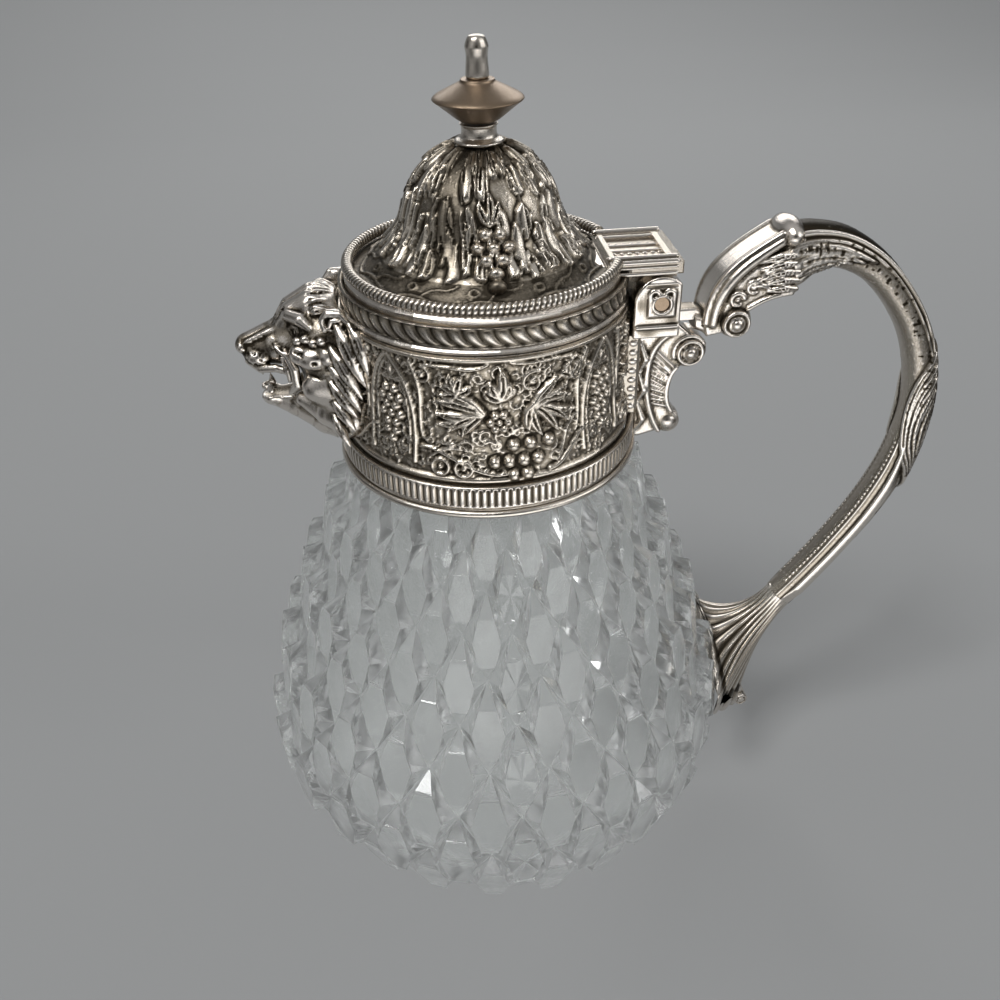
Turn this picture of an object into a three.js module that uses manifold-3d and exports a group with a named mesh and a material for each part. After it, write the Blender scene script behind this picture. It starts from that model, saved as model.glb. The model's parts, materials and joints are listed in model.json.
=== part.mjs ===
// A syrup pitcher: a pressed glass body with a diamond pattern, and silver-plated mounts
// cast and soldered around its neck. Millimetres, +Z up. The origin is the centre of the
// foot on the table, the spout points along -X and the handle along +X.
import * as THREE from 'three';
import { mergeVertices } from 'three/addons/utils/BufferGeometryUtils.js';
import Module from 'manifold-3d';

const wasm = await Module();
wasm.setup();

// Clearances
const joinGap = 0.3; // between parts that are soldered, cemented or laid on each other
const pinClearance = 0.12; // radial, between the hinge pin and its bores

// Glass body
const bossesAround = 22;
const bossRows = 10; // half rows, counted from the foot to the shoulder
const rowPitch = 8.3;
const firstRowHeight = 5.7;
const grooveDepth = 2.3;
const bossFaceWidth = 0.6; // of the half cell
const bossFaceHeight = 0.66; // of the half cell
const bossTipWidth = 0.18; // of the half cell
const footRadius = 33.5;
const bellyRadius = 47.8;
const bellyHeight = 31;
const shoulderStep = 0.9; // how far the shoulder stands out past the collar's foot
const upperFullness = 1.25;
const lowerFullness = 1.45;
const neckRadius = 21.3;
const neckLength = 15;
const glassWall = 3;
const glassFloor = 6.5;

// Collar
const collarHeight = 28;
const collarWaist = 0.5; // how far the middle of the collar draws in
const collarFlare = 1.1; // how much wider the foot of the collar is
const collarWall = 1.2;
const reedCount = 56;
const reedBandHeight = 4;
const reedBandThickness = 1;
const reedDepth = 0.35;
const footWireRadius = 0.75;
const packingThickness = 1.5; // between the glass neck and the collar, at the collar's top
const packingHeight = 11;

// Lid
const lidRimHeight = 5.6;
const lidPlateThickness = 1.1;
const skirtDepth = 3.6; // how far the skirt reaches into the collar
const skirtWall = 1.1;
const skirtClearance = 0.6;
const gadroonCount = 40;
const gadroonHeight = 3.1;
const gadroonDepth = 0.55;
const gadroonThickness = 1.1;
const gadroonSlant = 0.8; // in lobes, from the top to the bottom of the band
const ropeTurns = 50;
const ropeRadius = 0.95;
const ropeRelief = 0.16; // of the rope's radius
const domeHeight = 19;
const domeRadius = 12.2;
const domeFlareRadius = 18.5;
const domeWall = 1;

// Finial
const spindleRadius = 1.85;
const spindleHeight = 15.6; // above the dome
const saucerRadius = 7.2;
const saucerHeight = 6.2;
const finialNeckRadius = 2.9;
const finialNeckHeight = 3;
const threadRadius = 1.3;
const nutWidth = 6; // across the flats
const nutHeight = 2.4;

// Hinge
const pinRadius = 1.2;
const pinReach = 4.9; // from the collar's top edge out to the pin's axis
const pinDrop = 0.5; // from the collar's top edge down to the pin's axis
const earOuterY = 7.8;
const earThickness = 3.1;
const earRadius = 4.7; // of the rounded ear tops, about the pin
const earBackReach = 3.4; // from the pin's axis to the back of the ears
const earDrop = 6.2; // from the pin's axis to the bottom of the ears
const forkNeckHeight = 2.3; // low enough for the arm to swing over it
const knuckleRadius = 3.8;
const armRise = 5; // from the pin's axis up to the arm's underside
const armThickness = 2.7;
const armHalfWidth = 7.6;
const armRecess = 0.8;
const armSweep = 7.9; // the largest distance of the arm's back edge from the pin's axis
const stemClearance = 1.2; // between that sweep and the front of the handle's stem

// Handle
const strapHalfWidth = 5.6;
const strapThickness = 1.8;
const bracketHalfThickness = 3;
const handleHalfWidth = 4.1;
const leafHalfWidth = 15.5;
const leafTop = 41;
const leafHeight = 26.6;
const leafReach = 8.5; // how far the leaf's lowest point stands out past the belly
const leafFlutes = 8;
const leafFluteDepth = 0.1; // of the leaf's radius
const leafTaper = 0.35; // how much the leaf's rim narrows from its middle to its foot

// Spout
const maskHalfWidth = 11.5;
const jawHalfWidth = 8.6;
const tuftsPerSide = 5;

// Heights and radii that follow from the sizes above
const collarTopRadius = neckRadius + packingThickness + collarWall;
const shoulderRadius = collarTopRadius + collarFlare + shoulderStep;
const shoulderHeight = firstRowHeight + rowPitch * bossRows;
const neckTop = shoulderHeight + joinGap + neckLength;
const collarBottom = shoulderHeight + joinGap;
const collarTop = collarBottom + collarHeight;
const lidBottom = collarTop + joinGap;
const lidTop = lidBottom + lidRimHeight;
const pinX = collarTopRadius + pinReach;
const pinZ = collarTop - pinDrop;
const lidOuterRadius = collarTopRadius - 0.8;
const gadroonOuterRadius = lidOuterRadius + joinGap / 2 + gadroonThickness;
const skirtRadius = collarTopRadius - collarWall - skirtClearance;
const scrollFrontX = pinX + armSweep + stemClearance;

// Materials
const silver = new THREE.MeshStandardMaterial({ color: 0xc6c2b8, roughness: 0.24, metalness: 1 });
const agedSilver = new THREE.MeshStandardMaterial({ color: 0x8d8879, roughness: 0.34, metalness: 1 });
const wornBrass = new THREE.MeshStandardMaterial({ color: 0xa58559, roughness: 0.3, metalness: 1 });
const glass = new THREE.MeshStandardMaterial({
  color: 0xe4edeb, roughness: 0.05, metalness: 0, transparent: true, opacity: 0.35,
});
const plaster = new THREE.MeshStandardMaterial({ color: 0xd8d4c8, roughness: 0.9, metalness: 0 });

// Welds a geometry into one closed skin of shared vertices with its faces turned out.
function weld(source) {
  const bare = new THREE.BufferGeometry();
  const position = source.getAttribute('position');
  bare.setAttribute('position', new THREE.BufferAttribute(new Float32Array(position.array), 3));
  if (source.index) bare.setIndex([...source.index.array]);
  const merged = mergeVertices(bare, 1e-4);
  const { array } = merged.getAttribute('position');
  const kept = [];
  let volume = 0;
  for (let i = 0; i < merged.index.count; i += 3) {
    const [a, b, c] = [0, 1, 2].map((k) => merged.index.array[i + k]);
    if (a === b || b === c || c === a) continue;
    kept.push(a, b, c);
    const [p, q, r] = [a, b, c].map((k) => new THREE.Vector3().fromArray(array, 3 * k));
    volume += p.dot(q.cross(r));
  }
  if (volume < 0) kept.reverse();
  merged.setIndex(kept);
  return merged;
}

function toSolid(geometry) {
  const welded = weld(geometry);
  return new wasm.Manifold(new wasm.Mesh({
    numProp: 3,
    vertProperties: new Float32Array(welded.getAttribute('position').array),
    triVerts: new Uint32Array(welded.index.array),
  }));
}

function toGeometry(solid) {
  const mesh = solid.getMesh();
  const geometry = new THREE.BufferGeometry();
  const count = mesh.vertProperties.length / mesh.numProp;
  const position = new Float32Array(3 * count);
  for (let i = 0; i < count; i += 1) {
    for (let k = 0; k < 3; k += 1) position[3 * i + k] = mesh.vertProperties[mesh.numProp * i + k];
  }
  geometry.setAttribute('position', new THREE.BufferAttribute(position, 3));
  geometry.setIndex([...mesh.triVerts]);
  return geometry;
}

function join(...geometries) {
  const [first, ...rest] = geometries.map(toSolid);
  return toGeometry(rest.reduce((a, b) => a.add(b), first));
}

function cut(base, ...tools) {
  return toGeometry(tools.map(toSolid).reduce((a, b) => a.subtract(b), toSolid(base)));
}

// Turns a profile of [radius, height] points about the Z axis. A profile that doesn't start
// and end on the axis is closed on itself, into a ring.
function revolve(profile, segments) {
  const points = profile.map(([r, z]) => new THREE.Vector2(r, z));
  const onAxis = profile[0][0] === 0 && profile.at(-1)[0] === 0;
  if (!onAxis) points.push(points[0].clone());
  return new THREE.LatheGeometry(points, segments).rotateX(Math.PI / 2);
}

// Skins a row of closed sections, each a list of [x, y, z] with as many points. An open row
// gets a fan at each end, and a closed one runs back into its first section.
function loft(sections, closed = false) {
  const count = sections[0].length;
  const position = sections.flat(2);
  const index = [];
  const rows = closed ? sections.length : sections.length - 1;
  for (let s = 0; s < rows; s += 1) {
    const here = s * count;
    const next = ((s + 1) % sections.length) * count;
    for (let k = 0; k < count; k += 1) {
      const l = (k + 1) % count;
      index.push(here + k, here + l, next + l, here + k, next + l, next + k);
    }
  }
  if (!closed) {
    for (const [start, turn] of [[0, 1], [(sections.length - 1) * count, -1]]) {
      const ring = position.slice(3 * start, 3 * (start + count));
      const centre = [0, 1, 2].map((axis) => ring.filter((_, i) => i % 3 === axis)
        .reduce((a, b) => a + b, 0) / count);
      const hub = position.length / 3;
      position.push(...centre);
      for (let k = 0; k < count; k += 1) {
        const l = (k + 1) % count;
        index.push(hub, start + (turn > 0 ? l : k), start + (turn > 0 ? k : l));
      }
    }
  }
  const geometry = new THREE.BufferGeometry();
  geometry.setAttribute('position', new THREE.BufferAttribute(new Float32Array(position), 3));
  geometry.setIndex(index);
  return geometry;
}

// A ring about the Z axis whose section, a list of [radius, height], changes with the step.
function patternedRing(steps, sectionAt) {
  const sections = [];
  for (let s = 0; s < steps; s += 1) {
    sections.push(sectionAt(s).map(([r, z, turn = 0]) => {
      const angle = (2 * Math.PI * (s + turn)) / steps;
      return [r * Math.cos(angle), r * Math.sin(angle), z];
    }));
  }
  return loft(sections, true);
}

// A plate cut to an outline in the XZ plane, centred on y = 0.
function plate(shape, halfThickness, bevel = 0) {
  const geometry = new THREE.ExtrudeGeometry(shape, {
    depth: 2 * (halfThickness - bevel), bevelEnabled: bevel > 0, bevelThickness: bevel,
    bevelSize: bevel, bevelOffset: -bevel, bevelSegments: 1, curveSegments: 6,
  });
  return geometry.translate(0, 0, -(halfThickness - bevel)).rotateX(Math.PI / 2);
}

// A round bar along Y through (x, z).
function bar(radius, halfLength, x, z, segments = 24) {
  return new THREE.CylinderGeometry(radius, radius, 2 * halfLength, segments).translate(x, 0, z);
}

function box([x0, y0, z0], [x1, y1, z1]) {
  return new THREE.BoxGeometry(x1 - x0, y1 - y0, z1 - z0)
    .translate((x0 + x1) / 2, (y0 + y1) / 2, (z0 + z1) / 2);
}

// The radius of the glass over its bosses.
function bodyRadius(z) {
  if (z >= bellyHeight) {
    const t = Math.min(1, (z - bellyHeight) / (shoulderHeight - bellyHeight));
    return bellyRadius - (bellyRadius - shoulderRadius) * t ** upperFullness;
  }
  return bellyRadius - (bellyRadius - footRadius) * ((bellyHeight - z) / bellyHeight) ** lowerFullness;
}

// The pressed glass body: a hollow turned form whose outside is a lattice of crossing grooves
// with a raised hexagonal boss in each cell.
function glassBody() {
  const columns = 2 * bossesAround;
  const position = [];
  const index = [];
  const point = (column, row, raised) => {
    const angle = (2 * Math.PI * (column + 0.5)) / columns;
    const z = firstRowHeight + row * rowPitch;
    const r = bodyRadius(z) - (raised ? 0 : grooveDepth);
    return position.push(r * Math.cos(angle), r * Math.sin(angle), z) / 3 - 1;
  };
  const face = (...corners) => {
    for (let k = 1; k < corners.length - 1; k += 1) index.push(corners[0], corners[k], corners[k + 1]);
  };
  for (let row = 0; row <= bossRows; row += 1) {
    for (let i = row % 2; i < columns; i += 2) {
      const [left, right] = [point(i - 1, row), point(i + 1, row)];
      const below = row > 0 ? point(i, row - 1) : point(i, row);
      const above = row < bossRows ? point(i, row + 1) : point(i, row);
      if (row === 0) {
        face(left, below, above);
        face(below, right, above);
        continue;
      }
      if (row === bossRows) {
        face(left, below, above);
        face(below, right, above);
        continue;
      }
      const [w, h, tip] = [bossFaceWidth, bossFaceHeight, bossTipWidth];
      const faceLeft = point(i - w, row, true);
      const faceRight = point(i + w, row, true);
      const [topLeft, topRight] = [point(i - tip, row + h, true), point(i + tip, row + h, true)];
      const [footLeft, footRight] = [point(i - tip, row - h, true), point(i + tip, row - h, true)];
      face(left, faceLeft, topLeft, above);
      face(above, topLeft, topRight);
      face(above, topRight, faceRight, right);
      face(right, faceRight, footRight, below);
      face(below, footRight, footLeft);
      face(below, footLeft, faceLeft, left);
      face(faceLeft, footLeft, footRight, faceRight, topRight, topLeft);
    }
  }
  // plain rings close the lattice at the foot and at the neck
  const ring = (r, z) => Array.from({ length: columns }, (_, i) => {
    const angle = (2 * Math.PI * (i + 0.5)) / columns;
    return position.push(r * Math.cos(angle), r * Math.sin(angle), z) / 3 - 1;
  });
  const band = (low, high) => low.forEach((_, i) => {
    const j = (i + 1) % columns;
    face(low[i], low[j], high[j], high[i]);
  });
  const firstRow = ring(bodyRadius(firstRowHeight) - grooveDepth, firstRowHeight);
  const footEdge = ring(footRadius - grooveDepth / 2, 0);
  band(footEdge, firstRow);
  const shoulder = ring(shoulderRadius - grooveDepth, shoulderHeight);
  const neckFoot = ring(neckRadius, shoulderHeight + joinGap);
  const neckLip = ring(neckRadius, neckTop);
  band(shoulder, neckFoot);
  band(neckFoot, neckLip);
  for (const [rim, z, turned] of [[footEdge, 0, true], [neckLip, neckTop, false]]) {
    const hub = position.push(0, 0, z) / 3 - 1;
    rim.forEach((_, i) => {
      const j = (i + 1) % columns;
      face(hub, rim[turned ? j : i], rim[turned ? i : j]);
    });
  }
  const outside = new THREE.BufferGeometry();
  outside.setAttribute('position', new THREE.BufferAttribute(new Float32Array(position), 3));
  outside.setIndex(index);

  const hollow = [[0, glassFloor]];
  const innerWall = (z) => bodyRadius(z) - grooveDepth - glassWall;
  const rounding = 4;
  hollow.push([innerWall(glassFloor) - rounding, glassFloor]);
  const stations = 6;
  const start = glassFloor + rounding;
  const end = shoulderHeight - 3 * glassWall;
  for (let s = 0; s <= stations; s += 1) {
    const z = start + ((end - start) * s) / stations;
    hollow.push([innerWall(z), z]);
  }
  hollow.push([neckRadius - glassWall, shoulderHeight - glassWall]);
  hollow.push([neckRadius - glassWall, neckTop + 1], [0, neckTop + 1]);
  return cut(outside, revolve(hollow, 32));
}

// The collar's outer radius at a height.
function collarRadius(z) {
  const t = (collarTop - z) / collarHeight;
  return collarTopRadius + collarFlare * t * t - collarWaist * Math.sin(Math.PI * Math.min(1, t / 0.8));
}

function collarProfile(offset, from, to, steps = 4) {
  return Array.from({ length: steps + 1 }, (_, i) => {
    const z = from + ((to - from) * i) / steps;
    return [collarRadius(z) + offset, z];
  });
}

function collarShell() {
  const outer = collarProfile(0, collarBottom, collarTop);
  const inner = collarProfile(-collarWall, collarTop, collarBottom);
  return cut(revolve([...outer, ...inner], 48), pourPassage(0.3));
}

function neckPacking() {
  const top = collarBottom + packingHeight;
  const outer = collarProfile(-collarWall - joinGap, collarBottom, top, 3);
  return revolve([[neckRadius + joinGap, collarBottom], ...outer, [neckRadius + joinGap, top]], 32);
}

// Where the reeded band and the wire under it lie on the collar.
const reedBandBottom = collarBottom + 2 * footWireRadius + joinGap;
const reedBandTop = reedBandBottom + reedBandHeight;

function reededBand() {
  const inner = collarRadius(collarBottom) + joinGap;
  return patternedRing(2 * reedCount, (step) => {
    const outer = inner + reedBandThickness - (step % 2 ? reedDepth : 0);
    return [[inner, reedBandBottom], [outer, reedBandBottom], [outer, reedBandTop], [inner, reedBandTop]];
  });
}

function footWire() {
  const r = footWireRadius;
  const centre = [collarRadius(collarBottom) + joinGap + r, collarBottom + r];
  const sides = 6;
  const section = Array.from({ length: sides }, (_, i) => {
    const angle = (2 * Math.PI * i) / sides;
    return [centre[0] + r * Math.cos(angle), centre[1] + r * Math.sin(angle)];
  });
  return revolve(section, 44);
}

// The space that the collar, its bands and the wire take up, with a gap around them.
function collarClearance() {
  const bandRadius = collarRadius(collarBottom) + joinGap + 2 * footWireRadius + joinGap;
  return revolve([[0, collarBottom - 9], [bandRadius, collarBottom - 9], [bandRadius, reedBandTop + joinGap],
    ...collarProfile(joinGap, reedBandTop + joinGap, collarTop, 5),
    [collarRadius(collarTop) + joinGap, collarTop + 20], [0, collarTop + 20]], 48);
}

// A closed oval section of the lion's head across the X axis.
function headSection(x, top, bottom, halfWidth, count = 12) {
  const middle = (top + bottom) / 2;
  return Array.from({ length: count }, (_, i) => {
    const angle = (2 * Math.PI * (i + 0.5)) / count;
    const [c, s] = [Math.cos(angle), Math.sin(angle)];
    const square = 0.8;
    return [x, halfWidth * Math.sign(c) * Math.abs(c) ** square,
      middle + ((top - bottom) / 2) * Math.sign(s) * Math.abs(s) ** square];
  });
}

// The way through the spout, from inside the collar to the lion's mouth. Heights are measured
// down from the collar's top edge, and reach is measured out from the collar's radius.
function pourPassage(extra = 0) {
  const stations = [
    [-5, -3.6, -12.2, 6], [3.5, -6.5, -14.6, 4.8], [10, -10, -16.2, 4.3], [20, -10, -15.9, 4.2],
  ];
  return loft(stations.map(([reach, top, bottom, half]) => headSection(
    -collarTopRadius - reach, collarTop + top + extra, collarTop + bottom - extra, half + extra, 8)));
}

function lock(path, thickness) {
  const curve = new THREE.CatmullRomCurve3(path.map((p) => new THREE.Vector3(...p)));
  const steps = 5;
  const up = new THREE.Vector3(0, 0, 1);
  return loft(Array.from({ length: steps + 1 }, (_, s) => {
    const t = s / steps;
    const centre = curve.getPoint(t);
    const along = curve.getTangent(t);
    const side = new THREE.Vector3().crossVectors(along, up).normalize();
    const over = new THREE.Vector3().crossVectors(side, along);
    const girth = thickness * (0.25 + 0.75 * Math.sin(Math.PI * Math.min(1, 0.25 + 0.72 * t)));
    return Array.from({ length: 6 }, (_, k) => {
      const angle = (2 * Math.PI * k) / 6;
      return centre.clone().addScaledVector(side, 0.7 * girth * Math.cos(angle))
        .addScaledVector(over, girth * Math.sin(angle)).toArray();
    });
  }));
}

// The spout: a hollow lion's head with an open mouth, cast in one with its mane.
function spoutMask() {
  const head = [
    [-5, -1, -15.5, 1.05], [1.5, 3.6, -16, 1], [5, 4.1, -15, 0.85], [8.5, 2.2, -13.6, 0.7],
    [10.3, -0.9, -12.6, 0.58], [13.5, -2.4, -11.4, 0.5], [16.5, -3.4, -10.7, 0.44],
    [18.2, -5, -9, 0.28],
  ];
  const jaw = [
    [-4, -11, -26.6, 1.05], [2.5, -12, -25, 1], [6, -12, -21.2, 0.82], [11, -13.1, -18.8, 0.68],
    [14.3, -13.1, -18, 0.62], [15.6, -14, -17.2, 0.5],
  ];
  const place = (stations, width) => loft(stations.map(([reach, top, bottom, share]) => headSection(
    -collarTopRadius - reach, collarTop + top, collarTop + bottom, share * width)));
  const parts = [place(head, maskHalfWidth), place(jaw, jawHalfWidth)];
  const ball = (reach, y, drop, r, stretch = [1, 1, 1]) => new THREE.SphereGeometry(r, 8, 5)
    .scale(...stretch).translate(-collarTopRadius - reach, y, collarTop + drop);
  for (const side of [-1, 1]) {
    parts.push(ball(3.2, side * 0.76 * maskHalfWidth, 0.6, 2.2, [0.8, 1, 1.1])); // ear
    parts.push(ball(9.2, side * 0.42 * maskHalfWidth, -0.9, 1.7, [1, 1.2, 0.9])); // brow
    parts.push(ball(15.2, side * 0.25 * maskHalfWidth, -8, 2.6, [1.1, 1, 1])); // whisker pad
    for (let i = 0; i < tuftsPerSide; i += 1) {
      const down = (13.5 * i) / (tuftsPerSide - 1);
      parts.push(lock([
        [-collarTopRadius - 5.6, side * 0.74 * maskHalfWidth, collarTop - 0.4 - 0.8 * down],
        [-collarTopRadius - 1.8, side * 1.0 * maskHalfWidth, collarTop - 2.6 - down],
        [-collarTopRadius + 3.2, side * 1.16 * maskHalfWidth, collarTop - 8 - down],
      ], 2.3));
    }
  }
  parts.push(ball(18, 0, -5.6, 2, [0.8, 1.3, 0.8])); // nose
  const lidTool = new THREE.CylinderGeometry(gadroonOuterRadius + joinGap, gadroonOuterRadius + joinGap, 30, 48)
    .rotateX(Math.PI / 2).translate(0, 0, collarTop + 15 + joinGap / 2);
  return cut(join(...parts), collarClearance(), lidTool, pourPassage());
}

function lidPlate() {
  const outer = lidOuterRadius;
  const inner = skirtRadius + joinGap;
  const beadTop = lidBottom + 1;
  const top = lidTop;
  return revolve([
    [inner, lidBottom], [outer + 0.9, lidBottom], [outer + 1.1, lidBottom + 0.5], [outer + 0.6, beadTop],
    [outer, beadTop], [outer, top - 0.5], [outer - 0.5, top], [domeFlareRadius - 3, top],
    [domeFlareRadius - 3, top - lidPlateThickness], [inner, top - lidPlateThickness],
  ], 44);
}

function gadroonBorder() {
  const inner = lidOuterRadius + joinGap / 2;
  const bottom = lidBottom + 1 + joinGap / 2;
  const slant = gadroonSlant * 2;
  return patternedRing(2 * gadroonCount, (step) => {
    const outer = inner + gadroonThickness - (step % 2 ? gadroonDepth : 0);
    return [[inner, bottom, slant / 2], [outer - 0.3, bottom, slant / 2],
      [outer, bottom + gadroonHeight / 2, 0], [outer - 0.3, bottom + gadroonHeight, -slant / 2],
      [inner, bottom + gadroonHeight, -slant / 2]];
  });
}

function ropeBorder() {
  const centre = [lidOuterRadius - ropeRadius + 0.3, lidTop + ropeRadius + joinGap / 2];
  const sides = 5;
  const armGap = box([0, -armHalfWidth - joinGap, lidTop - 1],
    [2 * lidOuterRadius, armHalfWidth + joinGap, lidTop + 3 * ropeRadius]);
  return cut(patternedRing(2 * ropeTurns, (step) => {
    const r = ropeRadius * (step % 2 ? 1 - ropeRelief : 1 + ropeRelief / 4);
    return Array.from({ length: sides }, (_, i) => {
      const angle = (2 * Math.PI * (i + 0.5)) / sides;
      return [centre[0] + r * Math.cos(angle), centre[1] + r * Math.sin(angle), -1.2 * Math.cos(angle)];
    });
  }), armGap);
}

function lidSkirt() {
  const inner = skirtRadius - skirtWall;
  const top = lidTop - lidPlateThickness - joinGap;
  const bottom = collarTop - skirtDepth;
  return revolve([[inner, bottom], [skirtRadius, bottom], [skirtRadius, top], [inner, top]], 44);
}

// The crown of the lid: a bell with a flared foot, hollow from below.
const domeBottom = lidTop + joinGap / 2;
function lidDome() {
  // the bell's outline: how far it has drawn in from the flare to the bell, and its height
  const flare = [[0, 0], [0.26, 2.4], [0.62, 4.7], [0.88, 6.8]]
    .map(([share, z]) => [THREE.MathUtils.lerp(domeFlareRadius, domeRadius, share), z]);
  const bell = [[1, 9.3], [0.95, 11.6], [0.85, 14], [0.66, 16.9], [0.4, 18.5]]
    .map(([share, z]) => [share * domeRadius, z]);
  const scale = domeHeight / 19;
  const outer = [...flare, ...bell].map(([r, z]) => [r, domeBottom + scale * z]);
  const inner = outer.map(([r, z], i) => {
    const lean = i / (outer.length - 1);
    return [r - domeWall * (1.3 - lean), Math.max(domeBottom, z - domeWall * (0.2 + 0.9 * lean))];
  }).reverse();
  const bore = threadRadius + pinClearance;
  const top = domeBottom + domeHeight;
  return revolve([...outer, [bore, top], [bore, top - domeWall - 0.4], ...inner], 28);
}

// The hinge arm: a plate across the back of the lid, with a knuckle that hangs between the ears.
function hingeArm() {
  const knuckleHalf = earOuterY - earThickness - joinGap;
  const front = domeFlareRadius + 1;
  const top = armRise + armThickness;
  const backTop = Math.sqrt(armSweep ** 2 - top ** 2);
  const back = earBackReach;
  const at = (x, z) => [pinX + x, pinZ + z];
  const side = new THREE.Shape();
  side.moveTo(front, pinZ + armRise);
  side.lineTo(...at(back, armRise));
  side.lineTo(...at(back, Math.sqrt(armSweep ** 2 - back ** 2)));
  side.lineTo(...at(backTop, top));
  side.lineTo(front + 0.8, pinZ + top);
  side.lineTo(front, pinZ + top - 0.8);
  const knuckle = new THREE.Shape();
  knuckle.moveTo(...at(-knuckleRadius, armRise + 0.6));
  knuckle.lineTo(...at(-knuckleRadius, 0));
  knuckle.absarc(pinX, pinZ, knuckleRadius, Math.PI, 2 * Math.PI, false);
  knuckle.lineTo(...at(knuckleRadius - 1, armRise + 0.6));
  const recess = box([front + 1.6, -armHalfWidth + 2.2, pinZ + top - armRecess],
    [pinX + backTop - 1, armHalfWidth - 2.2, pinZ + top + 1]);
  const lidTool = revolve([[0, lidBottom - 1], [gadroonOuterRadius + joinGap, lidBottom - 1],
    [gadroonOuterRadius + joinGap, lidTop + joinGap / 2], [0, lidTop + joinGap / 2]], 44);
  return cut(join(plate(side, armHalfWidth, 0.3), plate(knuckle, knuckleHalf)), recess, lidTool,
    bar(pinRadius + pinClearance, knuckleHalf + 1, pinX, pinZ));
}

const spindleFoot = domeBottom + domeHeight;
function finialNeck() {
  const bore = threadRadius + pinClearance;
  const z = spindleFoot + joinGap / 2;
  return revolve([[bore, z], [finialNeckRadius + 0.8, z], [finialNeckRadius, z + 0.7],
    [finialNeckRadius, z + finialNeckHeight], [bore, z + finialNeckHeight]], 24);
}

const saucerBottom = spindleFoot + finialNeckHeight + joinGap;
function finialSaucer() {
  const bore = threadRadius + pinClearance;
  const [b, h] = [saucerBottom, saucerHeight];
  return revolve([[bore, b], [finialNeckRadius, b], [saucerRadius - 0.5, b + 0.46 * h],
    [saucerRadius, b + 0.54 * h], [saucerRadius - 0.4, b + 0.6 * h], [spindleRadius + 0.8, b + 0.96 * h],
    [spindleRadius + 0.8, b + h], [bore, b + h]], 28);
}

function finialSpindle() {
  const z = saucerBottom + saucerHeight + joinGap / 2;
  const tip = spindleFoot + spindleHeight;
  const end = spindleFoot - domeWall - nutHeight - 1.6;
  return revolve([[0, end], [threadRadius, end], [threadRadius, z], [spindleRadius, z],
    [spindleRadius, tip - spindleRadius], [0.8 * spindleRadius, tip - 0.5 * spindleRadius],
    [0.4 * spindleRadius, tip - 0.1 * spindleRadius], [0, tip]], 24);
}

function finialNut() {
  const top = spindleFoot - domeWall - 0.4 - joinGap;
  const outer = new THREE.CylinderGeometry(nutWidth / Math.sqrt(3), nutWidth / Math.sqrt(3), nutHeight, 6);
  const bore = new THREE.CylinderGeometry(threadRadius + pinClearance, threadRadius + pinClearance, nutHeight + 2, 16);
  return cut(outer, bore).rotateX(Math.PI / 2).translate(0, 0, top - nutHeight / 2);
}

// The fork at the head of the handle: two ears, the web that joins them, and a short neck.
function hingeFork() {
  const front = collarTopRadius + joinGap - pinX;
  const corner = Math.acos(earBackReach / earRadius);
  const meet = Math.acos(Math.max(-1, front / earRadius));
  const ear = new THREE.Shape();
  ear.moveTo(pinX + front, pinZ - earDrop);
  ear.lineTo(pinX + earBackReach, pinZ - earDrop);
  ear.absarc(pinX, pinZ, earRadius, corner, meet, false);
  const inner = earOuterY - earThickness;
  const gap = box([pinX + front - 1, -inner, pinZ - knuckleRadius - joinGap],
    [pinX + earBackReach + 1, inner, pinZ + earRadius + 1]);
  const neck = box([pinX + earBackReach - 1, -0.8 * handleHalfWidth, pinZ - earDrop],
    [scrollFrontX - joinGap, 0.8 * handleHalfWidth, pinZ - earDrop + forkNeckHeight]);
  const tool = revolve([[0, collarBottom], ...collarProfile(joinGap, collarBottom, collarTop, 8),
    [0, collarTop]], 64);
  return cut(join(cut(plate(ear, earOuterY, 0.35), gap), neck), tool,
    bar(pinRadius + pinClearance, earOuterY + 1, pinX, pinZ));
}

function hingePin() {
  return bar(pinRadius, earOuterY + 0.1, pinX, pinZ);
}

// The strap on the back of the collar that carries the handle.
const strapTop = pinZ - earDrop - joinGap;
function strap() {
  const bottom = reedBandTop + joinGap;
  const body = box([collarTopRadius - 4, -strapHalfWidth, bottom],
    [collarTopRadius + strapThickness, strapHalfWidth, strapTop]);
  const beads = [-1, 1].map((side) => new THREE.CylinderGeometry(0.7, 0.7, strapTop - bottom - 1, 8)
    .rotateX(Math.PI / 2).translate(collarTopRadius + strapThickness, side * (strapHalfWidth - 0.9), (bottom + strapTop) / 2));
  const tool = revolve([[0, bottom - 1], ...collarProfile(joinGap, bottom - 1, strapTop + 1, 8), [0, strapTop + 1]], 64);
  return cut(join(body, ...beads), tool);
}

// The scroll bracket under the fork, with a volute at its nose and a bud at its foot.
function bracket() {
  const back = collarTopRadius + strapThickness + 0.7 + joinGap;
  const top = strapTop;
  const drop = (z) => top - z;
  const shape = new THREE.Shape();
  shape.moveTo(back, drop(0));
  shape.lineTo(pinX + 5, drop(0));
  shape.absarc(pinX + 7.2, drop(5.2), 3.2, 0.5 * Math.PI, -0.62 * Math.PI, true);
  shape.bezierCurveTo(pinX + 4.2, drop(9.5), pinX + 3.2, drop(14), pinX + 5.2, drop(17));
  shape.absarc(pinX + 4.4, drop(19.4), 2.2, 0.33 * Math.PI, -0.75 * Math.PI, true);
  shape.lineTo(pinX - 1, drop(22));
  shape.lineTo(back, drop(22));
  const volute = bar(2.5, bracketHalfThickness + 0.7, pinX + 7.2, drop(5.2), 16);
  const eye = bar(1, bracketHalfThickness + 1.3, pinX + 7.2, drop(5.2), 10);
  const bud = new THREE.SphereGeometry(2.4, 8, 6).scale(1, 1.35, 1).translate(pinX + 4.4, 0, drop(19.4));
  return cut(join(plate(shape, bracketHalfThickness, 0.5), volute, eye, bud), collarClearance());
}

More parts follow.
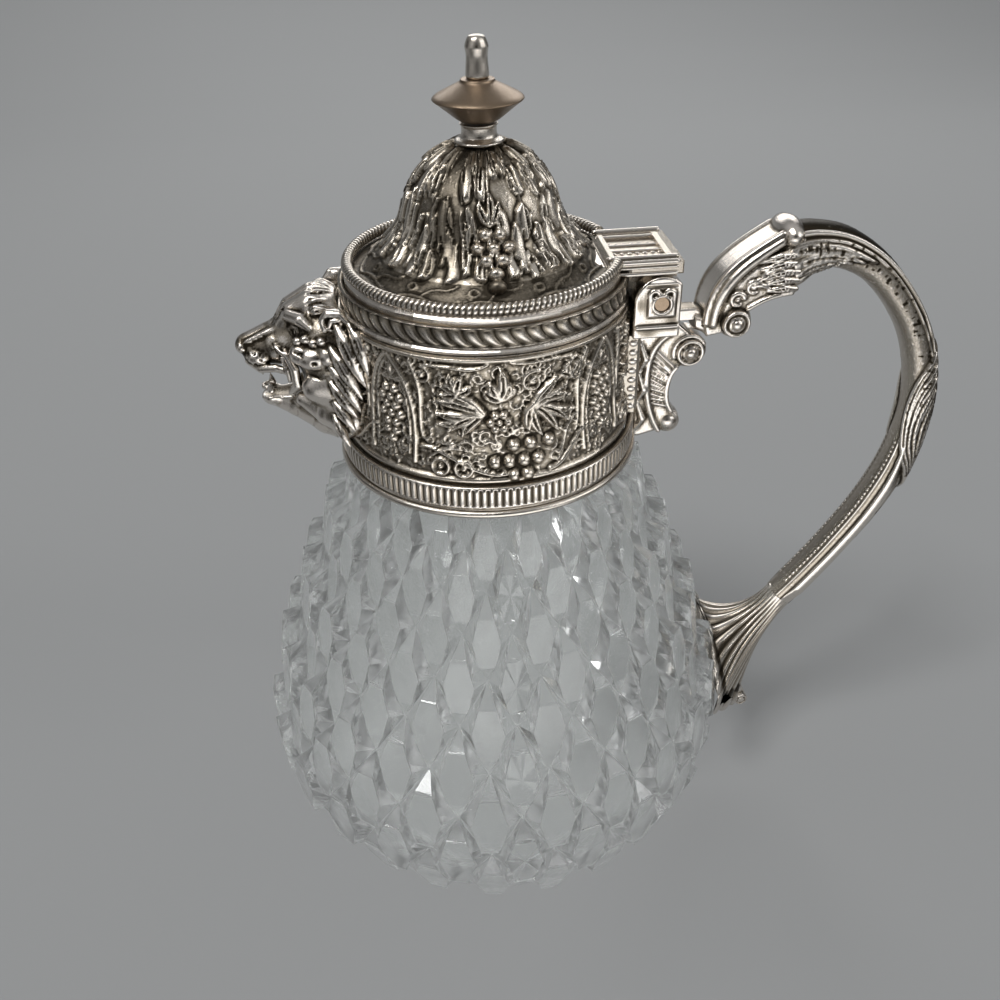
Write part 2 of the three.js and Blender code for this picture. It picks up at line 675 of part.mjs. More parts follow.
// Places on the handle are measured from the hinge pin.
const onHandle = (x, z) => new THREE.Vector2(pinX + x, pinZ + z);
const knuckleAt = onHandle(23.1, 8.6);

// The upper scroll of the handle, from the volute by the fork up to the seam at the knuckle.
function handleScroll() {
  const bottom = pinZ - earDrop;
  const volute = onHandle(14.6, -6.2);
  const volutePin = 2.4;
  const crest = (shape) => shape.bezierCurveTo(scrollFrontX + 0.1, pinZ + 1.5, pinX + 13.2, pinZ + 4.6,
    knuckleAt.x - 2.4, knuckleAt.y + 0.4);
  const shape = new THREE.Shape();
  shape.moveTo(scrollFrontX, bottom + 0.2);
  crest(shape);
  shape.lineTo(knuckleAt.x + 1.1, knuckleAt.y + 0.4);
  shape.lineTo(pinX + 22.6, pinZ - 1.6);
  shape.bezierCurveTo(pinX + 20.5, pinZ - 2, pinX + 18.3, pinZ - 3.6, volute.x + 2.6, volute.y + 2);
  shape.absarc(volute.x, volute.y, volutePin + 0.7, 0.21 * Math.PI, -0.75 * Math.PI, true);
  shape.lineTo(scrollFrontX + 1, bottom - 1.8);
  const ridge = new THREE.Shape();
  ridge.moveTo(scrollFrontX, bottom + 0.4);
  crest(ridge);
  ridge.lineTo(pinX + 20, pinZ + 7);
  ridge.bezierCurveTo(pinX + 14, pinZ + 3.6, scrollFrontX + 3, pinZ, scrollFrontX + 2.6, bottom + 0.4);
  const roll = bar(volutePin, handleHalfWidth + 0.9, volute.x, volute.y, 18);
  const eye = bar(1, handleHalfWidth + 1.5, volute.x, volute.y, 10);
  const knuckle = bar(2.2, handleHalfWidth + 0.6, knuckleAt.x, knuckleAt.y, 14);
  return cut(join(plate(shape, handleHalfWidth, 0.6), plate(ridge, handleHalfWidth + 0.6, 0.4),
    roll, eye, knuckle), handleBow(joinGap));
}

// The middle line of the bow from the seam at the knuckle round to the leaf, as places from
// the hinge pin, with half the bow's thickness at each.
const bowStations = [
  [23.4, 4.4, 6.4], [27.6, 5.6, 5.2], [33.2, 5, 4.3], [39.6, 1.4, 3.7], [45.6, -5, 3.5], [50.2, -12.6, 3.4],
  [53, -21.6, 3.4], [53.6, -30.4, 3.5], [52.2, -39.8, 3.7], [48.3, -49.6, 3.7], [42.8, -58.8, 3.6],
  [37.2, -66.8, 3.6], [33, -72.2, 3.7],
];

// A bar of rounded section along a line in the handle's plane. Its half width runs from the
// first value to the last along the line, and growth swells it for a clearance cut.
function sweepAlong(stations, [firstWidth, lastWidth], steps, growth = 0) {
  const curve = new THREE.CatmullRomCurve3(stations.map(([x, z]) => {
    const p = onHandle(x, z);
    return new THREE.Vector3(p.x, 0, p.y);
  }));
  const sides = 10;
  const last = stations.length - 1;
  return loft(Array.from({ length: steps + 1 }, (_, s) => {
    const t = s / steps;
    const centre = curve.getPoint(t);
    const along = curve.getTangent(t);
    const i = Math.min(last - 1, Math.floor(t * last));
    const thickness = THREE.MathUtils.lerp(stations[i][2], stations[i + 1][2], t * last - i) + growth;
    const width = THREE.MathUtils.lerp(firstWidth, lastWidth, t) + growth;
    // the ends of a swollen bar also move out by the clearance
    const shift = growth * (s === steps ? 1 : s === 0 ? -1 : 0);
    return Array.from({ length: sides }, (_, k) => {
      const angle = (2 * Math.PI * k) / sides;
      const [c, sn] = [Math.cos(angle), Math.sin(angle)];
      const out = thickness * Math.sign(c) * Math.abs(c) ** 0.8;
      return [centre.x + along.x * shift + along.z * out, width * Math.sign(sn) * Math.abs(sn) ** 0.75,
        centre.z + along.z * shift - along.x * out];
    });
  }));
}

function handleBow(growth = 0) {
  return sweepAlong(bowStations, [handleHalfWidth, 0.88 * handleHalfWidth], 24, growth);
}

// The leaf at the foot of the handle: the bow flares into a fluted trumpet whose rim lies
// against the glass, with a curled tip at the bottom of the rim.
function handleLeaf() {
  const end = onHandle(...bowStations.at(-1));
  const before = onHandle(...bowStations.at(-2));
  const along = end.clone().sub(before).normalize();
  const start = end.clone().addScaledVector(along, joinGap);
  const rimTop = new THREE.Vector2(bodyRadius(leafTop), leafTop);
  const rimFoot = new THREE.Vector2(bellyRadius + leafReach, leafTop - leafHeight);
  const rimCentre = rimTop.clone().add(rimFoot).multiplyScalar(0.5);
  const rimAcross = rimFoot.clone().sub(rimTop).multiplyScalar(0.5);
  const startAcross = new THREE.Vector2(-along.y, along.x).multiplyScalar(bowStations.at(-1)[2]);
  const steps = 6;
  const sides = 4 * leafFlutes;
  const sections = Array.from({ length: steps + 1 }, (_, s) => {
    const t = s / steps;
    const centre = start.clone().lerp(rimCentre, t);
    const across = startAcross.clone().lerp(rimAcross, t ** 2.6);
    const half = THREE.MathUtils.lerp(0.88 * handleHalfWidth, leafHalfWidth, t ** 2.4);
    return Array.from({ length: sides }, (_, k) => {
      const angle = (2 * Math.PI * k) / sides;
      const flute = 1 - (k % 2 ? leafFluteDepth * Math.min(1, 2 * t) : 0);
      const down = Math.cos(angle);
      const y = half * Math.sin(angle) * flute * (1 - t * leafTaper * down);
      const z = centre.y + across.y * down * flute;
      const free = centre.x + across.x * down * flute;
      // the rim bends in to the glass, except near its foot
      const touching = Math.sqrt((bodyRadius(z) - 1.5) ** 2 - y * y);
      const hug = t ** 3 * (1 - Math.max(0, down) ** 3);
      return [THREE.MathUtils.lerp(free, Math.min(free, touching), hug), y, z];
    });
  });
  const glassSide = [];
  for (let z = -2; z <= shoulderHeight; z += 4) {
    glassSide.push([bodyRadius(Math.max(0, z)) + joinGap, z]);
  }
  const glassTool = revolve([[0, -2], ...glassSide, [0, glassSide.at(-1)[1]]], 88);
  const curl = bar(1.6, 2.2, rimFoot.x + 0.4, rimFoot.y + 0.3, 12);
  return cut(join(loft(sections), curl), glassTool);
}

const pitcher = new THREE.Group();

function add(name, geometry, material) {
  const mesh = new THREE.Mesh(weld(geometry), material);
  mesh.name = name;
  pitcher.add(mesh);
}

add('glass_body', glassBody(), glass);
add('neck_packing', neckPacking(), plaster);
add('collar_shell', collarShell(), agedSilver);
add('collar_reeded_band', reededBand(), silver);
add('collar_foot_wire', footWire(), silver);
add('lion_spout', spoutMask(), silver);
add('collar_strap', strap(), silver);
add('scroll_bracket', bracket(), silver);
add('hinge_fork', hingeFork(), silver);
add('hinge_pin', hingePin(), wornBrass);
add('handle_scroll', handleScroll(), silver);
add('handle_bow', handleBow(), silver);
add('handle_leaf', handleLeaf(), silver);
add('lid_plate', lidPlate(), silver);
add('lid_gadroon_border', gadroonBorder(), silver);
add('lid_rope_border', ropeBorder(), silver);
add('lid_skirt', lidSkirt(), silver);
add('lid_dome', lidDome(), agedSilver);
add('lid_hinge_arm', hingeArm(), silver);
add('finial_neck', finialNeck(), silver);
add('finial_saucer', finialSaucer(), wornBrass);
add('finial_spindle', finialSpindle(), silver);
add('finial_nut', finialNut(), wornBrass);

export default pitcher;
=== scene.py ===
"""A silver-plated glass syrup pitcher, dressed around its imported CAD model.

All sizes are in millimetres until mesh_object() turns them into metres.
"""
import itertools
import json
import math

import bmesh
import bpy
import numpy as np
from mathutils import Matrix, Vector


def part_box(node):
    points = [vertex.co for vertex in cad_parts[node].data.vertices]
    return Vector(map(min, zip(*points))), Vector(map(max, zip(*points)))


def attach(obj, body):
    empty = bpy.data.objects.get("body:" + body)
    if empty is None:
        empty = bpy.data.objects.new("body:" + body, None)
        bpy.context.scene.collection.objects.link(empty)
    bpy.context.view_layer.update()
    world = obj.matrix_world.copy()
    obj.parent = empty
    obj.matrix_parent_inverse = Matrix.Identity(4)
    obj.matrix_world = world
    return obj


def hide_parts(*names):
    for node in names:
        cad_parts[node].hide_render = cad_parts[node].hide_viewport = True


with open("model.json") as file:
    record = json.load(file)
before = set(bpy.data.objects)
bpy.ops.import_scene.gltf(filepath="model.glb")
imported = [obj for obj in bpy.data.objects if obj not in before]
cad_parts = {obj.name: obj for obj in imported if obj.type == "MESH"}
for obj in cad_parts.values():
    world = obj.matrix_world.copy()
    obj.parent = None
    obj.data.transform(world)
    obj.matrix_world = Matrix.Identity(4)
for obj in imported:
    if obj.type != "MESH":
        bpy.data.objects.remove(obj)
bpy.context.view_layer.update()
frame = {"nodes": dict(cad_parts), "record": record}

MM = 0.001
TAU = 2 * math.pi
rng = np.random.default_rng(7)


# Measures taken from the frame


def box_mm(node):
    low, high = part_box(node)
    return [c / MM for c in low], [c / MM for c in high]


COLLAR_BOTTOM, COLLAR_TOP = (corner[2] for corner in box_mm("collar_shell"))
COLLAR_RADIUS = 24.0
COLLAR_WAIST = 0.5
COLLAR_FLARE = 1.1
BAND_BOTTOM, BAND_TOP = (corner[2] for corner in box_mm("collar_reeded_band"))
BAND_RADIUS = box_mm("collar_reeded_band")[1][1]
WIRE_BOTTOM, WIRE_TOP = (corner[2] for corner in box_mm("collar_foot_wire"))
WIRE_OUTER = box_mm("collar_foot_wire")[1][1]
LID_BOTTOM = box_mm("lid_plate")[0][2]
GADROON_BOTTOM, GADROON_TOP = (corner[2] for corner in box_mm("lid_gadroon_border"))
GADROON_RADIUS = box_mm("lid_gadroon_border")[1][1]
ROPE_TOP = box_mm("lid_rope_border")[1][2]
DOME_BOTTOM = box_mm("lid_dome")[0][2]
PIN_X, _, PIN_Z = ((a + b) / 2 for a, b in zip(*box_mm("hinge_pin")))
ARM_HALF = box_mm("lid_hinge_arm")[1][1]
SAUCER_BOTTOM, SAUCER_TOP = (corner[2] for corner in box_mm("finial_saucer"))
SAUCER_RADIUS = box_mm("finial_saucer")[1][0]
NECK_LOW, NECK_HIGH = box_mm("finial_neck")
SPINDLE_TOP = box_mm("finial_spindle")[1][2]


# Meshes


def add_object(name, data):
    made = bpy.data.objects.new(name, data)
    bpy.context.scene.collection.objects.link(made)
    return made


def mesh_object(name, points, faces, body, replaced=(), slot="silver", cavity=None):
    """Makes an object from points and lists of indices, and puts it on its body."""
    mesh = bpy.data.meshes.new(name)
    mesh.from_pydata((np.asarray(points, float) * MM).tolist(), [], np.asarray(faces).tolist()
                     if isinstance(faces, np.ndarray) else faces)
    if cavity is not None:
        mesh.attributes.new("cavity", "FLOAT", "POINT").data.foreach_set(
            "value", np.asarray(cavity, np.float32).ravel())
    work = bmesh.new()
    work.from_mesh(mesh)
    bmesh.ops.remove_doubles(work, verts=work.verts, dist=1e-7)
    bmesh.ops.recalc_face_normals(work, faces=work.faces)
    work.to_mesh(mesh)
    work.free()
    mesh.polygons.foreach_set("use_smooth", [True] * len(mesh.polygons))
    piece = add_object(name, mesh)
    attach(piece, body)
    if replaced:
        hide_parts(*replaced)
    mesh.materials.append(MATERIALS[slot])
    return piece


def grid_faces(rows, columns, closed_rows=False):
    """Quads over rows of points, each row closed on itself."""
    r, c = np.meshgrid(np.arange(rows if closed_rows else rows - 1), np.arange(columns), indexing="ij")
    r, c = r.ravel(), c.ravel()
    r2, c2 = (r + 1) % rows, (c + 1) % columns
    return np.stack([r * columns + c, r * columns + c2, r2 * columns + c2, r2 * columns + c], 1)


def soften(values, reach):
    """The mean of a height map over a square of cells, where each row runs on round the piece."""
    steps = range(-reach, reach + 1)
    rows = np.arange(len(values))
    across = sum(values[np.clip(rows + step, 0, rows[-1])] for step in steps) / len(steps)
    return sum(np.roll(across, step, axis=1) for step in steps) / len(steps)


# Relief: ornament raised from a strip of sheet metal


class Relief:
    """Heights over a strip that runs u millimetres round a piece and v millimetres up it."""

    def __init__(self, around, low, high, cell):
        self.around = around
        self.columns = round(around / cell)
        self.step = around / self.columns
        self.rows = max(2, round((high - low) / cell) + 1)
        self.v = np.linspace(low, high, self.rows)
        self.u = np.arange(self.columns) * self.step - around / 2
        self.height = np.zeros((self.rows, self.columns))

    def near(self, u0, u1, v0, v1):
        """The cells of a patch, and their u and v."""
        first = math.floor((u0 + self.around / 2) / self.step)
        last = math.ceil((u1 + self.around / 2) / self.step)
        columns = np.arange(first, min(last, first + self.columns - 1) + 1)
        u = columns * self.step - self.around / 2
        rows = np.nonzero((self.v >= v0) & (self.v <= v1))[0]
        if len(rows) == 0 or len(columns) == 0:
            return None
        return np.ix_(rows, columns % self.columns), u[None, :], self.v[rows][:, None]

    def raise_to(self, cells, height):
        self.height[cells] = np.maximum(self.height[cells], height)

    def knob(self, u, v, radii, height):
        """A round or oval knob."""
        ru, rv = (radii, radii) if np.isscalar(radii) else radii
        reach = max(ru, rv)
        found = self.near(u - reach, u + reach, v - reach, v + reach)
        if found is None:
            return
        cells, uu, vv = found
        room = np.clip(1 - ((uu - u) / ru) ** 2 - ((vv - v) / rv) ** 2, 0, None)
        self.raise_to(cells, height * np.sqrt(room))

    def ring(self, u, v, radius, width, height):
        found = self.near(u - radius - width, u + radius + width, v - radius - width, v + radius + width)
        if found is None:
            return
        cells, uu, vv = found
        away = np.abs(np.hypot(uu - u, vv - v) - radius) / width
        self.raise_to(cells, height * np.sqrt(np.clip(1 - away**2, 0, None)))

    def stroke(self, places, widths, height, sink=False):
        """A rounded line through the places, whose half width runs from the first value to the last."""
        places = np.asarray(places, float)
        lengths = np.hypot(*np.diff(places, axis=0).T)
        whole = np.concatenate([[0], np.cumsum(lengths)]) / max(1e-9, lengths.sum())
        for i in range(len(places) - 1):
            a, b = places[i], places[i + 1]
            w0, w1 = (np.interp(whole[k], np.linspace(0, 1, len(widths)), widths) for k in (i, i + 1))
            reach = max(w0, w1)
            found = self.near(min(a[0], b[0]) - reach, max(a[0], b[0]) + reach,
                              min(a[1], b[1]) - reach, max(a[1], b[1]) + reach)
            if found is None:
                continue
            cells, uu, vv = found
            d = b - a
            t = np.clip(((uu - a[0]) * d[0] + (vv - a[1]) * d[1]) / max(1e-9, d @ d), 0, 1)
            away = np.hypot(uu - a[0] - t * d[0], vv - a[1] - t * d[1])
            room = np.sqrt(np.clip(1 - (away / np.maximum(1e-3, w0 + (w1 - w0) * t)) ** 2, 0, None))
            if sink:
                self.height[cells] -= np.minimum(height * room, np.maximum(0, self.height[cells]))
            else:
                self.raise_to(cells, height * room)

    def leaf(self, u, v, size, turn, height):
        """A vine leaf: three pointed lobes around its stalk, each with a vein."""
        lobes, spread = 3, 4.4
        found = self.near(u - size, u + size, v - size, v + size)
        if found is None:
            return
        cells, uu, vv = found
        a = np.arctan2(vv - v, uu - u) - turn
        a = (a + math.pi) % TAU - math.pi
        r = np.hypot(uu - u, vv - v) / size
        phase = a / spread * lobes
        tooth = np.abs((phase + 0.5) % 1 - 0.5) * 2
        edge = np.where(np.abs(a) < spread / 2, 1 - 0.42 * tooth**1.3 - 0.05 * np.abs(a), 0.25)
        edge *= 1 - 0.09 * np.abs(np.sin(4 * lobes * a))
        room = np.clip((edge - r) * size / 0.45, 0, 1)
        vein = 0.35 * np.exp(-((tooth * r * size / 0.7) ** 2) * 4)
        ribs = 0.16 * np.cos(5 * lobes * a) * np.clip(3 * r, 0, 1)
        self.raise_to(cells, height * np.sqrt(room) * (0.5 + 0.4 * r + vein + ribs))

    def grapes(self, u, v, rows, radius, height):
        """A hanging cluster: so many grapes in each row from the top down."""
        for k, count in enumerate(rows):
            for i in range(count):
                self.knob(u + (i - (count - 1) / 2) * 2.05 * radius, v - 1.75 * radius * k, radius, height)

    def fronds(self, u, v, tips, girth, height):
        """Fat pointed leaflets from one stalk to the tips, given as angles in degrees and lengths."""
        for degrees, long in tips:
            a = math.radians(degrees)
            c, s = math.cos(a), math.sin(a)
            bend = 0.1 * long * (1 if degrees % 2 else -1)
            path = bezier((u, v), (u + 0.35 * long * c - bend * s, v + 0.35 * long * s + bend * c),
                          (u + 0.7 * long * c - bend * s, v + 0.7 * long * s + bend * c),
                          (u + long * c, v + long * s))
            self.stroke(path, (0.3 * girth, girth, 0.9 * girth, 0.12), height)
            self.stroke(path[2:-1], (0.12, 0.2, 0.1), 0.5 * height, sink=True)

    def scroll(self, u, v, radius, turns, start, width, height, hand=1):
        """A spiral that winds in to a bead."""
        count = int(16 * abs(turns)) + 2
        places = []
        for k in range(count):
            t = k / (count - 1)
            angle = start + hand * TAU * turns * t
            r = radius * (1 - 0.82 * t)
            places.append((u + r * math.cos(angle), v + r * math.sin(angle)))
        self.stroke(places, (width, 0.6 * width), height)
        self.knob(u, v, 0.28 * radius + 0.15, 1.1 * height)

    def stipple(self, count, radius, height):
        """Small punched dots scattered all over the ground."""
        for _ in range(count):
            self.knob(rng.uniform(-0.5, 0.5) * self.around, rng.uniform(self.v[0], self.v[-1]),
                      radius * rng.uniform(0.7, 1.3), height * rng.uniform(0.6, 1.2))

    def curls(self, count, size, height, low, high):
        """Small tendrils curling every way, to fill the ground between the large forms."""
        for _ in range(count):
            u, v = rng.uniform(-0.5, 0.5) * self.around, rng.uniform(low, high)
            start, hand, radius = rng.uniform(0, TAU), rng.choice((-1, 1)), size * rng.uniform(0.6, 1.3)
            angles = start + hand * np.linspace(0, 4.2, 9)
            spread = radius * np.linspace(1, 0.35, 9)
            self.stroke(np.stack([u + spread * np.cos(angles), v + spread * np.sin(angles)], 1),
                        (0.16, 0.24, 0.14), height)

    def cavity(self, strength=2.4, base=0.12):
        """How much tarnish stays: more in the hollows, less on what stands up."""
        around = soften(self.height, 3)
        top = max(1e-6, np.percentile(self.height, 98))
        low = 1 - np.clip(self.height / top, 0, 1)
        return np.clip(base * low + strength * (around - self.height) / top, 0, 1)


def bezier(a, b, c, d, count=12):
    t = np.linspace(0, 1, count)[:, None]
    a, b, c, d = (np.asarray(p, float) for p in (a, b, c, d))
    return (1 - t) ** 3 * a + 3 * (1 - t) ** 2 * t * b + 3 * (1 - t) * t**2 * c + t**3 * d


def circle(x, z, radius, start=0.0, end=TAU, count=24):
    return [(x + radius * math.cos(a), z + radius * math.sin(a)) for a in np.linspace(start, end, count)]


def wrap_relief(name, relief, base, drop, body, thickness, replaced=(), shade=0.0):
    """Rolls a relief round the Z axis on a base outline, with a plain inner face behind it.

    base(v) gives radius, height and the outward direction (dr, dz) of the strip at v.
    drop(angle, z) is true where the sheet is cut away.
    """
    angle = relief.u / relief.around * TAU - math.pi / 2
    r0, z0, nr, nz = (np.asarray(k, float)[:, None] for k in base(relief.v))
    r = r0 + nr * relief.height
    z = z0 + nz * relief.height + 0 * angle
    outer = np.stack([r * np.cos(angle), r * np.sin(angle), z], -1).reshape(-1, 3)
    back = r0 - nr * thickness + 0 * angle
    inner = np.stack([back * np.cos(angle), back * np.sin(angle), z0 - nz * thickness + 0 * angle], -1)
    inner = inner[::-1].reshape(-1, 3)
    points = np.concatenate([outer, inner])
    faces = grid_faces(2 * relief.rows, relief.columns, closed_rows=True)
    kept = ~drop(np.arctan2(points[:, 1], points[:, 0]), points[:, 2])
    faces = faces[kept[faces].all(axis=1)]
    used = np.zeros(len(points), bool)
    used[faces.ravel()] = True
    front = np.clip(relief.cavity(strength=3) + shade, 0, 1)
    cavity = np.concatenate([front.ravel(), np.full(relief.rows * relief.columns, 0.3)])
    mesh_object(name, points[used], (np.cumsum(used) - 1)[faces], body, replaced, "aged_silver",
                cavity[used])


def ring_piece(name, columns, section, body, replaced, gap=None):
    """A ring whose closed section, a list of radius, height and tarnish, changes round the piece.

    gap, where given, is the half width of a slot cut through it at +X.
    """
    turns = np.arange(columns) / columns
    rows = [np.asarray(section(t), float) for t in turns]
    count = len(rows[0])
    angles = turns * TAU
    points = np.array([[(r * math.cos(a), r * math.sin(a), z) for r, z, _ in row]
                       for a, row in zip(angles, rows)])
    cavity = np.array([[c for _, _, c in row] for row in rows])
    if gap is None:
        faces = grid_faces(columns, count, closed_rows=True).tolist()
    else:
        keep = [i for i in range(columns)
                if not (points[i, 0, 0] > 0 and abs(points[i, 0, 1]) < gap)]
        first = next(i for i, k in enumerate(keep) if i and keep[i - 1] != k - 1) if keep[0] == 0 else 0
        keep = keep[first:] + keep[:first]
        points, cavity = points[keep], cavity[keep]
        faces = grid_faces(len(keep), count).tolist()
        faces += [list(range(count)), list(range((len(keep) - 1) * count, len(keep) * count))]
    mesh_object(name, points.reshape(-1, 3), faces, body, replaced, "silver", cavity.ravel())


def lathe(name, corners, steps, share, node, slot="silver"):
    """Turns corners, as radius and height, about the Z axis, rounded off and closed at both ends."""
    outline = [(0, corners[0][1])] + rounded(corners, steps, share) + [(0, corners[-1][1])]
    columns, tarnish = 96, 0.12
    angle = np.arange(columns) / columns * TAU
    points = [(0, 0, outline[0][1])]
    for r, z in outline[1:-1]:
        points += [(r * math.cos(a), r * math.sin(a), z) for a in angle]
    points.append((0, 0, outline[-1][1]))
    rows = len(outline) - 2
    faces = (grid_faces(rows, columns) + 1).tolist()
    top = len(points) - 1
    faces += [(0, 1 + k, 1 + (k + 1) % columns) for k in range(columns)]
    faces += [(top, top - columns + k, top - columns + (k + 1) % columns) for k in range(columns)]
    mesh_object(name, points, faces, "lid", [node], slot, np.full(len(points), tarnish))


def rounded(outline, steps=4, share=0.35):
    """An outline with its inner corners rounded off."""
    outline = [np.asarray(p, float) for p in outline]
    result = [outline[0]]
    for a, b, c in zip(outline, outline[1:], outline[2:]):
        start, end = b + (a - b) * share, b + (c - b) * share
        for k in range(steps + 1):
            t = k / steps
            result.append((1 - t) ** 2 * start + 2 * t * (1 - t) * b + t * t * end)
    result.append(outline[-1])
    return result


# Sculpting: cast pieces modelled as one solid from balls and tapered strokes


class Sculpt:
    """A block of cells, each holding its distance to the surface; below zero is metal."""

    def __init__(self, low, high, cell):
        self.low = np.asarray(low, float)
        self.cell = cell
        self.shape = tuple(int(math.ceil((b - a) / cell)) + 1 for a, b in zip(low, high))
        self.field = np.full(self.shape, 4.0, np.float32)

    def near(self, low, high):
        a = np.maximum(0, np.floor((np.asarray(low) - self.low) / self.cell)).astype(int)
        b = np.minimum(self.shape, np.ceil((np.asarray(high) - self.low) / self.cell) + 1).astype(int)
        if (a >= b).any():
            return None
        axes = [self.low[i] + self.cell * np.arange(a[i], b[i]) for i in range(3)]
        grid = np.meshgrid(*axes, indexing="ij", sparse=True)
        return tuple(slice(i, j) for i, j in zip(a, b)), grid

    def merge(self, cells, away, blend, carve=False):
        old = -self.field[cells] if carve else self.field[cells]
        if blend > 0:
            h = np.clip(0.5 + 0.5 * (old - away) / blend, 0, 1)
            new = old * (1 - h) + away * h - blend * h * (1 - h)
        else:
            new = np.minimum(old, away)
        self.field[cells] = -new if carve else new

    def ball(self, centre, radii, blend, carve=False):
        centre = np.asarray(centre, float)
        radii = np.broadcast_to(np.asarray(radii, float), 3)
        reach = radii.max() + blend + 2 * self.cell
        found = self.near(centre - reach, centre + reach)
        if found is None:
            return
        cells, (x, y, z) = found
        d = [x - centre[0], y - centre[1], z - centre[2]]
        k0 = np.sqrt(sum((c / r) ** 2 for c, r in zip(d, radii)))
        k1 = np.sqrt(sum((c / r**2) ** 2 for c, r in zip(d, radii)))
        self.merge(cells, k0 * (k0 - 1) / np.maximum(k1, 1e-6), blend, carve)

    def stroke(self, places, radii, blend, carve=False, flat=None):
        """A tapered rounded bar through the places. flat = (direction, factor) thins it that way."""
        places = np.asarray(places, float)
        lengths = np.linalg.norm(np.diff(places, axis=0), axis=1)
        whole = np.concatenate([[0], np.cumsum(lengths)]) / max(1e-9, lengths.sum())
        r = np.interp(whole, np.linspace(0, 1, len(radii)), radii)
        reach = r.max() + blend + 2 * self.cell
        found = self.near(places.min(0) - reach, places.max(0) + reach)
        if found is None:
            return
        cells, (x, y, z) = found
        best = None
        for i in range(len(places) - 1):
            a, d = places[i], places[i + 1] - places[i]
            dx, dy, dz = x - a[0], y - a[1], z - a[2]
            t = np.clip((dx * d[0] + dy * d[1] + dz * d[2]) / max(1e-9, d @ d), 0, 1)
            ex, ey, ez = dx - t * d[0], dy - t * d[1], dz - t * d[2]
            if flat is not None:
                n, factor = np.asarray(flat[0], float), flat[1] - 1
                push = factor * (ex * n[0] + ey * n[1] + ez * n[2])
                ex, ey, ez = ex + push * n[0], ey + push * n[1], ez + push * n[2]
            away = np.sqrt(ex**2 + ey**2 + ez**2) - (r[i] + (r[i + 1] - r[i]) * t)
            best = away if best is None else np.minimum(best, away)
        self.merge(cells, best, blend, carve)

    def mirror_y(self):
        """Adds the mirror image across the middle plane: what is metal on either side stays metal."""
        self.field = np.minimum(self.field, self.field[:, ::-1, :])

    def piece(self, name, body, replaced, tarnish=0.0, depth=1.5, patches=()):
        """The surface through the cells, one point in each cell that it crosses.

        patches lists places made darker on top of the hollows: centre, radius and amount.
        """
        f = self.field.copy()
        f[[0, -1], :, :] = f[:, [0, -1], :] = f[:, :, [0, -1]] = self.cell
        inside = f < 0
        total = np.zeros([n - 1 for n in self.shape], np.int8)
        for corner in itertools.product((0, 1), repeat=3):
            total += inside[tuple(slice(c, n - 1 + c) for c, n in zip(corner, self.shape))]
        cells = np.argwhere((total > 0) & (total < 8))
        index = np.full(total.shape, -1)
        index[tuple(cells.T)] = np.arange(len(cells))
        place, count = np.zeros((len(cells), 3)), np.zeros(len(cells))
        quads = []
        for axis in range(3):
            u, v = (axis + 1) % 3, (axis + 2) % 3
            for du, dv in itertools.product((0, 1), repeat=2):
                a = cells.copy()
                a[:, u] += du
                a[:, v] += dv
                b = a.copy()
                b[:, axis] += 1
                fa, fb = f[tuple(a.T)], f[tuple(b.T)]
                crosses = (fa < 0) != (fb < 0)
                p = a.astype(float)
                p[:, axis] += fa / np.where(crosses, fa - fb, 1)
                place[crosses] += p[crosses]
                count[crosses] += 1
            one = [slice(None)] * 3
            two = [slice(None)] * 3
            one[axis], two[axis] = slice(0, -1), slice(1, None)
            edge = np.argwhere(inside[tuple(one)] != inside[tuple(two)])
            edge = edge[(edge[:, u] > 0) & (edge[:, v] > 0)]
            edge = edge[(edge[:, u] < self.shape[u] - 1) & (edge[:, v] < self.shape[v] - 1)]
            quad = []
            for du, dv in ((0, 0), (1, 0), (1, 1), (0, 1)):
                q = edge.copy()
                q[:, u] -= du
                q[:, v] -= dv
                quad.append(index[tuple(q.T)])
            quads.append(np.stack(quad, 1))
        place = place / count[:, None]
        # tarnish gathers where metal lies all around
        clipped = np.clip(f, -3 * self.cell, 3 * self.cell).astype(float)
        blurred = clipped
        for axis in range(3):
            blurred = sum(np.roll(blurred, s, axis) for s in (-2, -1, 0, 1, 2)) / 5
        hollow = (clipped - blurred)[tuple(np.round(place).astype(int).T)] / self.cell
        cavity = tarnish + hollow * depth
        place = self.low + place * self.cell
        # darker patches; on the lion these are painted shade
        for centre, radius, amount in patches:
            cavity += amount * np.exp(-(((place - centre) / radius) ** 2).sum(1))
        mesh_object(name, place, np.concatenate(quads), body, replaced, "silver", np.clip(cavity, 0, 1))


# Materials


def material(name):
    made = bpy.data.materials.new(name)
    made.use_nodes = True
    return made, made.node_tree, made.node_tree.nodes["Principled BSDF"]


def set_inputs(node, values):
    for name, value in values.items():
        node.inputs[name].default_value = value


def noise(tree, scale, detail=3):
    node = tree.nodes.new("ShaderNodeTexNoise")
    set_inputs(node, {"Scale": scale, "Detail": detail})
    return node


def add_bump(tree, shader, source, strength, distance):
    bump = tree.nodes.new("ShaderNodeBump")
    set_inputs(bump, {"Strength": strength, "Distance": distance})
    tree.links.new(source, bump.inputs["Height"])
    tree.links.new(bump.outputs["Normal"], shader.inputs["Normal"])


def add_roughness(tree, shader, source, ranges):
    """Roughness that follows the source."""
    rough = tree.nodes.new("ShaderNodeMapRange")
    set_inputs(rough, ranges)
    tree.links.new(source, rough.inputs["Value"])
    tree.links.new(rough.outputs["Result"], shader.inputs["Roughness"])


def glass_material():
    made, tree, shader = material("clear_glass")
    set_inputs(shader, {"Base Color": (0.985, 1, 0.99, 1), "Transmission Weight": 0.95, "IOR": 1.5})
    add_roughness(tree, shader, noise(tree, 160).outputs["Fac"], {"To Min": 0.0, "To Max": 0.07})
    add_bump(tree, shader, noise(tree, 240).outputs["Fac"], 0.07, 0.0005)
    return made


